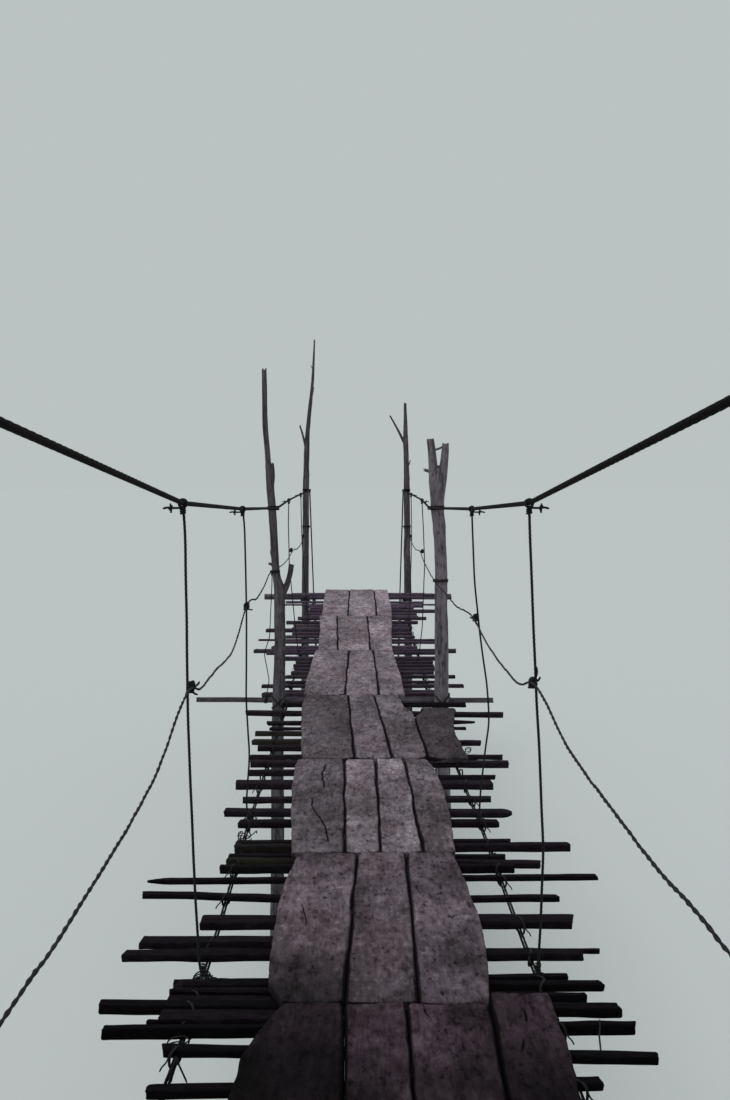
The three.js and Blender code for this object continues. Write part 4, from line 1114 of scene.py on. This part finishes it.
def slatShell(y, slat, seed, look, key):
    # a split board: an oblong of more or less rounded corners carried along X, whose width,
    # thickness and place wander slowly, with ridges along the grain and slanting cut ends
    left, right, width, thickness = (v * mm for v in slat[1:5])
    turned = math.radians(slat[5])
    rng = np.random.default_rng(seed)
    along = boardPlaces(-left, right, np.array([0, 0.0012, 0.004, 0.010, 0.019]), look["rings"])
    angle = np.linspace(0, 2 * np.pi, look["sides"], endpoint=False) + 0.15
    corner = rng.uniform(*look["corner"])
    shapeY, shapeZ = (np.sign(wave) * abs(wave) ** corner for wave in (np.cos(angle), np.sin(angle)))
    centre = placed(along, y, 0)
    wide = width / 2 * (1 + look["widthSwing"] * roughness(centre, (0.16, 1, 1), seed))
    thick = thickness / 2 * (1 + look["thickSwing"] * roughness(centre, (0.12, 1, 1), seed + 1))
    fromEnd = np.minimum(along + left, right - along)
    shrink = 1 - look["endShrink"] * nearness(fromEnd, 0.004) ** 2
    pointed = look["pointed"].get(key)
    if pointed:
        distance = along + left if pointed[0] == "left" else right - along
        shrink = shrink * np.clip(0.35 + 0.65 * (distance / pointed[1]) ** 0.7, 0.35, 1)
    acrossY = (wide * shrink)[:, None] * shapeY
    upZ = (thick * shrink)[:, None] * shapeZ
    grainPlace = placed(acrossY, along[:, None], upZ)
    shifted = grainPlace + seed * 0.37
    ridges = look["grain"] * roughness(shifted, (0.007, 0.16, 0.007), seed + 2, 2)
    lumps = look["lumps"] * roughness(shifted, (0.05, 0.07, 0.05), seed + 3, 1)
    push = (ridges + lumps) * np.clip(fromEnd / 0.02, 0.2, 1)[:, None]
    bend = look["bend"] * roughness(centre, (0.4, 1, 1), seed + 4)
    bend = bend + look["bowed"].get(key, 0) * (1 - np.clip(abs(along) / 0.6, 0, 1) ** 2)
    acrossY = acrossY + push * shapeY + bend[:, None]
    upZ = upZ + push * shapeZ * 0.7
    ragged = look["ragged"] * roughness(shifted, (0.006, 0.05, 0.008), seed + 5, 2)
    slants = rng.uniform(-look["slant"], look["slant"], 2) * min(1, 0.06 / width)
    middleY = acrossY - bend[:, None]
    atRight = nearness(right - along, look["cutLength"])[:, None]
    atLeft = nearness(along + left, look["cutLength"])[:, None]
    x = along[:, None] + atRight * (slants[0] * middleY + ragged) + atLeft * (slants[1] * middleY - ragged)
    xs = x * math.cos(turned) - acrossY * math.sin(turned)
    ys = x * math.sin(turned) + acrossY * math.cos(turned)
    slope = 2 * bridge["deckRise"] * y
    foot = deckHeight(y) + bridge["deckCableRadius"] + look["clearance"]
    points = placed(xs, y + ys, foot + thickness / 2 + upZ + slope * ys)
    shape = points.shape[:2]
    # painted haze and shade by bay, times the slat's own grey and random tone
    tone = look["bayHazeAndShade"][key[0]] * look["grey"].get(key, 1.0) * rng.uniform(*look["toneSwing"])
    moss = look["mossy"].get(key, 0.08) * np.clip(-along / left, 0, 1)
    # the upper share marks the top face, which takes a lighter tone: painted top light
    return {
        "points": points, "grainPlace": grainPlace + rng.uniform(0, 9, 3), "tone": np.full(shape, tone),
        "upper": np.broadcast_to(np.clip(shapeZ * 1.6 - 0.5, 0, 1), shape),
        "moss": np.broadcast_to(moss[:, None], shape),
    }


def slatTie(x, y, slat, side, wire, lean):
    # a wire loop slung diagonally round a slat and the deck cable under it, with a twisted end
    width, thickness = slat[3] * mm, slat[4] * mm
    low = deckHeight(y) - bridge["deckCableRadius"]
    high = deckHeight(y) + bridge["deckCableRadius"] + thickness
    centre = np.array([x, y, (low + high) / 2])
    aim = np.array([0.012 * lean, width / 2 + 0.004, 0])
    height = np.array([0, 0, (high - low) / 2 + wire])
    path = loopPath(centre, height, aim, 20, 0.6, 2.0, (0.007, 0, 0))
    knot = centre + height * 0.5 - aim * 1.02
    tail = np.array([[0, 0, 0], [0.006, -0.008, -0.012], [0.016, -0.010, -0.020], [0.022, -0.006, -0.034]])
    return [wireShell(curveThrough(path, 0.005, 1), wire, (1, 0, 0), 5),
            bentWire(knot + tail * [side, 1, 1], wire, (0, 1, 0))]


# Loose tie ends at the near cables, in mm: their points and the wire's radius
looseTies = [
    [[[-452, -4815, 1720], [-458, -4818, 1700], [-466, -4815, 1676], [-471, -4812, 1653]], 5.0],
    [[[-456, -4812, 1722], [-446, -4818, 1700], [-436, -4814, 1674], [-428, -4812, 1653]], 2.6],
    [[[538, -4730, 1722], [541, -4738, 1705], [539, -4738, 1680], [543, -4736, 1664]], 2.6],
    [[[641, -4650, 1739], [637, -4676, 1730], [630, -4700, 1722], [620, -4770, 1722],
      [612, -4815, 1735]], 2.6],
]
# Loose rings of wire by the deck cables: x, y, half width, half height, turns, wire radius,
# all in mm but the turns
wireRings = [[-467, -4700, 30, 14, 2, 2.2], [-480, -2372, 28, 18, 2, 2.2], [-461, -4262, 27, 24, 3, 2.2],
             [538, -4255, 18, 17, 2, 2.2], [628, -880, 18, 14, 2, 2.2]]
# Tie, lacing and fibre are wire radii in metres; slats are tied up to a width of widestTied mm
tieSettings = {"tie": 0.0021, "lacing": 0.0016, "fibre": 0.0021, "widestTied": 200,
               "lacingStep": 0.012, "lacingSway": 0.006, "lacingHeight": 0.0085, "fibreStep": 0.42}


def tangle(centre, size, count, seed):
    # ragged fibres: each wanders from the centre by steps of random direction, kept within a size
    rng = np.random.default_rng(seed)
    steps = rng.normal(size=(count, 9, 3)) * size * tieSettings["fibreStep"]
    paths = np.asarray(centre) + np.tanh(np.cumsum(steps, axis=1) / size) * size
    return [bentWire(path, tieSettings["fibre"], (0.3, 1, 0.2)) for path in paths]


def lacing(side, start, end, seed):
    # a thin wire that lies along the deck cable, now over it and now beside it
    y = np.arange(start, end, tieSettings["lacingStep"])
    place = placed(0, y, 0)
    x = deckX(side, y) + tieSettings["lacingSway"] * roughness(place, (1, 0.12, 1), seed)
    z = deckHeight(y) + tieSettings["lacingHeight"] + 0.0015 * roughness(place, (1, 0.08, 1), 35)
    z -= 0.004 * np.clip(abs(x - deckX(side, y)) / 0.004 - 0.8, 0, 1)
    return wireShell(placed(x, y, z), tieSettings["lacing"], (1, 0, 0), 5)


for bay, slats in enumerate(bays):
    start, end = bridge["bayEnds"][bay:bay + 2]
    boards, ties = [], []
    for k, slat in enumerate(slats):
        y = start + slat[0] * mm
        boards.append(slatShell(y, slat, 100 + 40 * bay + k, slatSettings, (bay, k)))
        for side in ("left", "right"):
            # three of five slat ends are tied, in an uneven order
            if slat[3] < tieSettings["widestTied"] and (k * 7 + bay * 3 + (side == "right") * 2) % 5 < 3:
                ties += slatTie(deckX(side, y), y, slat, -inward(side), tieSettings["tie"], (-1) ** k)
    makePiece(f"slats_bay_{bay + 1}_boards", boards, slatWood,
              [f"slats_bay_{bay + 1}"], sharp=40)
    for side in ("left", "right"):
        ties.append(lacing(side, start + slats[0][0] * mm, start + slats[-1][0] * mm, 31 + bay))
    for points, radius in looseTies:
        if start < points[0][1] * mm < end:
            ties.append(bentWire(np.array(points) * mm, radius * mm, (0, 1, 0)))
    for x, y, half, tall, turns, radius in wireRings:
        if start < y * mm < end:
            place = np.array([x * mm, y * mm, deckHeight(y * mm) + 0.004])
            path = loopPath(place, (half * mm, 0.006, 0.004), (0, 0.004, tall * mm), 24, 0.9, turns,
                            (0.006, 0.050, 0.006))
            ties.append(wireShell(curveThrough(path, 0.005, 1), radius * mm, (0, 1, 0)))
    if bay == 1:  # a tangle of torn fibres at the left deck cable
        ties += tangle((-0.460, -2.695, deckHeight(-2.695) + 0.008), 0.040, 11, 17)
    makePiece(f"slats_bay_{bay + 1}_ties", ties, hangerWire)
print("slats made")


# All in mm but the shares. Near and far are the edges and joints across a row's two ends, bulge
# how far its outer edges bow, touch the share along at which neighbours meet, short how much
# sooner each plank ends, cuts where one is cut through. Cracks are plank, places as share along
# and across, depth, width; stains are plank, share along and across, reach, strength. Corners
# are rounded by plank and corner: 0 near left, 1 near right, 2 far left, 3 far right. Shifts
# move an edge, by its number and by whose it is (0 both planks', -1 only the right one's):
# share along, mm. Tone is each plank's own tone with painted haze that lightens the far rows
# and painted shade that darkens the near row. The painted shade lists give, for each plank,
# factors of its tone by share along: painted shade and light. Depth is the swing between pale
# and dark patches, warm the share of the warmer tone
plankRows = [
    {"start": -6245, "end": -4585, "near": [-300, -25, 126, 296, 505], "far": [-200, -35, 131, 358, 530],
     "bulge": [-50, 10], "touch": [0.4, 0.62, 0.35], "short": [0, 0, 6, -70],
     "tone": [0.14, 0.25, 0.29, 0.22], "depth": 1.7, "warm": 1.0,
     "cracks": [[3, [[0.91, 0.46], [0.975, 0.48]], 8, 5], [3, [[0.80, 0.30], [0.86, 0.38]], 7, 5],
                [2, [[0.93, 0.265], [0.96, 0.20], [0.995, 0.19]], 7, 4]],
     "stains": [[1, 0.93, 0.65, 30, 0.6], [3, 0.84, 0.25, 45, 0.7], [0, 0.71, 0.12, 60, 0.7]],
     "shifts": {(0, 0): [[0.6, 0], [0.72, -12], [0.8, -27], [0.9, -19], [1, 0]],
                (4, 0): [[0, 0], [0.3, -20], [0.66, -32], [0.8, -17], [1, -4]]},
     "paintedShade": [[[0, 1.6], [0.5, 0.8], [0.68, 0.27], [0.79, 0.23], [0.85, 0.42], [0.92, 0.67], [1, 0.9]],
               [[0, 1.7], [0.5, 1.2], [0.73, 1.1], [0.79, 1.08], [0.85, 1.38], [0.92, 1.05], [1, 1.15]],
               [[0, 1.6], [0.5, 0.9], [0.68, 0.40], [0.73, 0.42], [0.79, 0.93], [0.85, 1.54], [1, 1.65]],
               [[0, 1.6], [0.5, 0.9], [0.68, 0.48], [0.79, 0.50], [0.85, 0.86], [0.94, 1.2], [1, 1.28]]]},
    {"start": -4575, "end": -3095, "near": [-240, -35, 171, 356], "far": [-225, 0, 188, 360],
     "bulge": [-34, 38], "touch": [0.7, 0.45], "short": [14, 0, 8], "tone": [0.95, 0.90, 0.90],
     "cracks": [[1, [[0.655, 0.60], [0.70, 0.62]], 6, 4], [0, [[0.41, 0.42], [0.57, 0.33]], 3, 3]],
     "cornerAt": {(0, 2): 85, (0, 0): 12}, "depth": 1.4, "warm": 0.25,
     "shifts": {(0, 0): [[0, 36], [0.1, 0]]},
     "paintedShade": [[[0, 0.2], [0.09, 0.3], [0.19, 0.6], [0.29, 1.1], [1, 1.0]],
               [[0, 0.5], [0.09, 0.65], [0.19, 1.0], [0.29, 1.2], [0.45, 1.05], [1, 1.05]],
               [[0, 0.9], [1, 1.08]]]},
    {"start": -3085, "end": -1365, "near": [-253, -47, 95, 262, 380], "far": [-316, -68, 95, 246, 368],
     "bulge": [-14, 34], "touch": [0.42, 0.3, 0.55], "short": [0, 8, 0, 10], "tone": [1.0, 2.1, 2.0, 1.2],
     "cracks": [[0, [[0.073, 0.72], [0.166, 0.67], [0.276, 0.58], [0.343, 0.47], [0.427, 0.377],
                     [0.515, 0.374]], 9, 5], [0, [[0.615, 0.69], [0.773, 0.63], [0.927, 0.70]], 8, 4]],
     "cornerAt": {(1, 2): 40, (1, 3): 34, (3, 2): 30, (3, 3): 26, (0, 2): 40}},
    {"start": -1355, "end": 540, "near": [-286, -14, 190, 375, 594], "far": [-355, -62, 114, 345, 655],
     "bulge": [-14, -50], "touch": [0.6, 0.72, 0.5], "short": [0, 5, 12, 480],
     "tone": [0.95, 1.32, 1.32, 0.55],
     "shifts": {(3, 0): [[0, 0], [0.2, 7], [0.46, -6], [0.66, 0], [0.765, -43], [0.945, -52]],
                (3, -1): [[0.60, 0], [0.69, 62], [0.747, 88]], (4, 0): [[0.4, 0], [0.54, 8], [0.747, 34]]},
     "cornerAt": {(0, 0): 45, (0, 1): 45, (1, 0): 35, (1, 1): 22, (2, 1): 48, (3, 0): 42, (3, 3): 50,
                  (3, 1): 30, (0, 2): 60}},
    {"start": 550, "end": 2485, "near": [-365, -82, 153, 324], "far": [-343, -67, 134, 293],
     "bulge": [-6, 8], "touch": [0.35, 0.6], "short": [0, 10, 0], "tone": [1.8, 1.9, 1.8],
     "cuts": {0: 1035}, "cornerAt": {(0, 0): 60, (0, 1): 40}},
    {"start": 2495, "end": 4435, "near": [-326, -161, 113, 293], "far": [-367, -198, 100, 347],
     "bulge": [8, -6], "touch": [0.5, 0.4], "short": [8, 0, 6], "tone": [2.1, 2.2, 2.2]},
    {"start": 4445, "end": 6245, "near": [-347, -90, 198, 347], "far": [-350, -85, 190, 340],
     "bulge": [-5, 5], "touch": [0.45, 0.65], "short": [0, 0, 10], "tone": [2.2, 2.3, 2.3]},
]
plankSettings = {
    "thickness": 0.028, "step": 0.017, "columns": 21, "halfGap": 0.0042, "gapGrowth": 0.0065,
    "edgeDrop": 0.005, "endDrop": 0.0035, "grain": 0.0008, "dents": 0.0022, "cup": 0.0018,
    "edgeWander": 0.0045, "edgeQuick": 0.0014, "jointWander": 0.0035, "jointQuick": 0.0020,
    "corner": (4, 16), "skew": 0.012, "ragged": 0.003, "endLength": 0.04, "crackPull": 0.24,
    "sideRough": 0.0010, "sideDepths": [0.30, 0.55, 0.85],
    "freeLean": [0.0012, 0.0018, 0.0006], "jointLean": [0.55, 0.9, 1.0],
}


def plankEdge(row, index, sign, along, share, look, seed):
    # one long edge of a plank and how far it stands off the joint: the straight line between
    # its ends + the row's bulge + shifts + slow and quick wandering
    line = placed(0, along, seed * 0.7)
    x = (row["near"][index] * (1 - share) + row["far"][index] * share) * mm
    for way in (0, sign):
        if (index, way) in row.get("shifts", {}):
            places = np.array(row["shifts"][index, way])
            x = x + np.interp(share, places[:, 0], places[:, 1]) * mm
    if index in (0, len(row["near"]) - 1):
        bulge = row["bulge"][min(index, 1)] * mm * 4 * share * (1 - share)
        slow = look["edgeWander"] * roughness(line + index, (1, 0.22, 1), seed + index)
        quick = look["edgeQuick"] * roughness(line + index, (1, 0.035, 1), seed + index + 3)
        return x + bulge + slow + quick, share * 0
    opening = look["halfGap"] + look["gapGrowth"] * abs(share - row["touch"][index - 1])
    jitter = look["jointQuick"] * roughness(line + index, (1, 0.09, 1), seed + index + 6, 3)
    together = look["jointWander"] * roughness(placed(0, along, 0), (1, 0.3, 1), 900 + index)
    opening = np.maximum(opening + jitter, 0.002)
    return x + together - sign * opening, opening


def plankShell(row, k, begin, finish, bearing, look, seed):
    # a board: rows of points run along it and columns across it, from its left edge to its
    # right edge; its top = underside + thickness + cup + dents + grain ridges − cracks
    rng = np.random.default_rng(seed)
    whole = (row["end"] - row["start"]) * mm
    along = boardPlaces(begin, finish, np.array([0, 0.0015, 0.004, 0.008, 0.014, 0.021]), look["step"])
    share = along / whole
    line = placed(k * 3.1, along, seed * 0.7)
    left, leftGap = plankEdge(row, k, -1, along, share, look, seed)
    right, rightGap = plankEdge(row, k + 1, 1, along, share, look, seed)
    corners = row.get("cornerAt", {})
    fromBegin, fromFinish = along - begin, finish - along
    for which, distance in enumerate((fromBegin, fromBegin, fromFinish, fromFinish)):
        radius = corners.get((k, which), rng.uniform(*look["corner"])) * mm
        inset = radius * (1 - np.sqrt(1 - nearness(distance, radius) ** 2))
        if which % 2:
            right = right - inset
        else:
            left = left + inset
    # columns: even, with five close together on each crack
    columns = list(np.linspace(0, 1, look["columns"])) + [0.012, 0.03, 0.97, 0.988]
    width = float(np.mean(right - left))
    tracks = []
    for plank, places, depth, wide in row.get("cracks", []):
        if plank != k:
            continue
        places = np.array(places)
        half = wide * mm / 2 / width
        centre = float(places[:, 1].mean())
        columns = [t for t in columns if abs(t - centre) > half * 2.5]
        columns += [centre - half * 2, centre - half * 0.7, centre, centre + half * 0.7, centre + half * 2]
        wobble = 0.012 * roughness(line, (1, 0.05, 1), seed + 20 + len(tracks), 3)
        track = np.interp(share, places[:, 0], places[:, 1]) + wobble - centre
        fade = np.clip((share - places[0, 0]) / 0.02, 0, 1) * np.clip((places[-1, 0] - share) / 0.02, 0, 1)
        fade = fade * (0.8 + 0.2 * roughness(line, (1, 0.05, 1), seed + 30))
        tracks.append((centre, half, track, fade, depth * mm))
    columns = np.array(sorted(columns))
    across = np.broadcast_to(columns, (len(along), len(columns))).copy()
    # cut deepens the grooves; the mask beside it is painted shadow in the cracks
    cut, crackShadow = np.zeros_like(across), np.zeros_like(across)
    for centre, half, track, fade, depth in tracks:
        across += track[:, None] * nearness(abs(columns - centre), look["crackPull"])
        groove = nearness(abs(columns - centre), half * 1.9)
        cut += depth * fade[:, None] * groove
        shadow = np.clip(groove * 1.8, 0, 1) * np.clip(fade * 1.5, 0, 1)[:, None]
        crackShadow = np.maximum(crackShadow, shadow)
    x = left[:, None] + (right - left)[:, None] * across
    spot = placed(x, along[:, None], 0.0) + [k * 0.9, row["start"] * mm, seed * 0.01]
    fromEdge = np.minimum(across, 1 - across) * (right - left)[:, None]
    fromEnd = np.minimum(fromBegin, fromFinish)
    drop = look["edgeDrop"] * nearness(fromEdge, 0.006) ** 2
    drop = drop + look["endDrop"] * nearness(fromEnd, 0.007)[:, None] ** 2
    height = look["grain"] * roughness(spot, (0.006, 0.14, 1), seed + 40, 2)
    height += look["dents"] * roughness(spot, (0.07, 0.10, 1), seed + 41, 3)
    height += look["cup"] * (4 * (across - 0.5) ** 2 - 0.4)
    ragged = look["ragged"] * roughness(spot, (0.012, 0.08, 1), seed + 42, 2)
    skew = rng.uniform(-look["skew"], look["skew"], 2)
    atBegin, atFinish = (nearness(v, look["endLength"])[:, None] for v in (fromBegin, fromFinish))
    slide = atBegin * (ragged + skew[0] * (across - 0.5) + 0.002)
    slide = slide + atFinish * (ragged + skew[1] * (across - 0.5) - 0.002)
    y = row["start"] * mm + along
    base = np.interp(y, *bearing)[:, None]
    top = placed(x, y[:, None] + slide, base + look["thickness"] + height - drop - cut)

    def sideStrip(edge, sign, gap):
        # the board's side leans out under its top, so a joint closes to a dark groove
        depths, freeLean, jointLean = (np.array(look[key])[::sign] for key in (
            "sideDepths", "freeLean", "jointLean"))
        free = gap[:, None] == 0
        lean = freeLean * free + np.maximum(gap - 0.0001, 0)[:, None] * jointLean
        ys = y[:, None] + slide[:, [-1 if sign > 0 else 0]]
        zs = base + look["thickness"] * (1 - depths)
        rough = look["sideRough"] * roughness(placed(sign, ys, zs), (1, 0.05, 0.01), seed + 50)
        return placed(edge[:, None] + sign * lean + rough * free, ys, zs)

    rightSide, leftSide = sideStrip(right, 1, rightGap), sideStrip(left, -1, leftGap)
    under = np.linspace(0, 1, 8)[None, :, None]
    bottom = rightSide[:, -1:] * (1 - under) + leftSide[:, :1] * under
    bottom[..., 2] = base
    bottom[..., 1] = y[:, None]
    points = np.concatenate([top, rightSide, bottom, leftSide], axis=1)
    shape = points.shape[:2]
    # painted shade: cracks, the top's edges and the sides in joints are darkened strongly, free sides and
    # the underside a little
    inner = np.where(across < 0.5, (leftGap > 0)[:, None], (rightGap > 0)[:, None]) * 0.85 + 0.05
    crack = np.full(shape, 0.35)
    crack[:, :len(columns)] = np.clip(crackShadow + inner * nearness(fromEdge, 0.004), 0, 1)
    crack[:, len(columns):len(columns) + 3] = np.where(rightGap > 0, 0.95, 0.3)[:, None]
    crack[:, -3:] = np.where(leftGap > 0, 0.95, 0.3)[:, None]
    grainPlace = points - np.array([0, 0, 1.6]) + rng.uniform(0, 9, 3)
    # painted shade and light: the plank's tone times the painted shade factors along it
    stops = np.array(row["paintedShade"][k] if "paintedShade" in row else [[0, 1]])
    tone = np.broadcast_to((row["tone"][k] * np.interp(share, stops[:, 0], stops[:, 1]))[:, None], shape)
    moss = np.full(shape, rng.uniform(0, 0.15))
    for plank, placeAlong, placeAcross, reach, strength in row.get("stains", []):
        if plank == k:
            distance = np.hypot(along[:, None] - placeAlong * whole, (across - placeAcross) * width)
            moss[:, :len(columns)] += strength * np.exp(-(distance / (reach * mm)) ** 2)
    return {
        "points": points, "grainPlace": grainPlace, "crack": crack, "tone": tone,
        "moss": np.clip(moss, 0, 1), "depth": np.full(shape, row.get("depth", 1.0)),
        "upper": np.full(shape, row.get("warm", 0.0)),
    }


for index, row in enumerate(plankRows):
    # the underside runs straight between the heights at both ends of the row's solid
    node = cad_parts[f"plank_row_{index + 1}"]
    corners = np.array([v.co for v in node.data.vertices])
    ends = [corners[:, 1].min(), corners[:, 1].max()]
    bearing = (ends, [corners[abs(corners[:, 1] - end) < 0.003, 2].min() for end in ends])
    boards = []
    for k in range(len(row["near"]) - 1):
        length = (row["end"] - row["start"] - row["short"][k]) * mm
        seed = 500 + 20 * index + k
        stretches = [(0.0, length, seed)]
        if k in row.get("cuts", {}):
            cut = (row["cuts"][k] - row["start"]) * mm
            stretches = [(0.0, cut - 0.003, seed), (cut + 0.003, length, seed + 300)]
        for begin, finish, seed in stretches:
            boards.append(plankShell(row, k, begin, finish, bearing, plankSettings, seed))
    makePiece(f"plank_row_{index + 1}_boards", boards, plankWood,
              [f"plank_row_{index + 1}"], sharp=55)
print("planks made")


stage = {
    "floorSize": 400.0, "floor": (0.566, 0.5865, 0.586), "floorRough": 0.9, "floorSpecular": 0.2,
    "sky": (0.50, 0.54, 0.54), "skyStrength": 1.0,
    "sunStrength": 1.3, "sunAngle": 60.0, "sunTurn": (18.0, -14.0, 0.0),
}
half = stage["floorSize"] / 2
floorMesh = bpy.data.meshes.new("floor")
corners = [(x * half, y * half, 0) for x, y in ((-1, -1), (1, -1), (1, 1), (-1, 1))]
floorMesh.from_pydata(corners, [], [(0, 1, 2, 3)])
floor = linked("floor", floorMesh)
paint = newMaterial("floorPaint").nodes["Principled BSDF"].inputs
paint["Base Color"].default_value = (*stage["floor"], 1)
paint["Roughness"].default_value = stage["floorRough"]
paint["Specular IOR Level"].default_value = stage["floorSpecular"]
floorMesh.materials.append(bpy.data.materials["floorPaint"])

world = bpy.data.worlds.new("studio")
bpy.context.scene.world = world
world.use_nodes = True
background = world.node_tree.nodes["Background"].inputs
background["Color"].default_value = (*stage["sky"], 1)
background["Strength"].default_value = stage["skyStrength"]
sun = bpy.data.lights.new("softSun", "SUN")
sun.energy, sun.angle = stage["sunStrength"], math.radians(stage["sunAngle"])
linked("softSun", sun).rotation_euler = [math.radians(v) for v in stage["sunTurn"]]

# The lens gives 1250 px over the frame's height of 1100 px; down and right are degrees
view = {"place": (0.0, -7.865, 3.190), "sensor": 36.0, "lens": 36 * 1250 / 1100, "down": 3.66,
        "right": 0.367, "clip": (0.05, 500.0)}
camera = bpy.data.cameras.new("camera")
camera.lens, camera.sensor_width, camera.sensor_fit = view["lens"], view["sensor"], "AUTO"
camera.clip_start, camera.clip_end = view["clip"]
cameraObject = linked("camera", camera)
cameraObject.location = view["place"]
cameraObject.rotation_euler = (math.radians(90 - view["down"]), 0.0, -math.radians(view["right"]))
bpy.context.scene.camera = cameraObject
bpy.context.scene.view_settings.view_transform = "Standard"
print("stage, light and camera set")
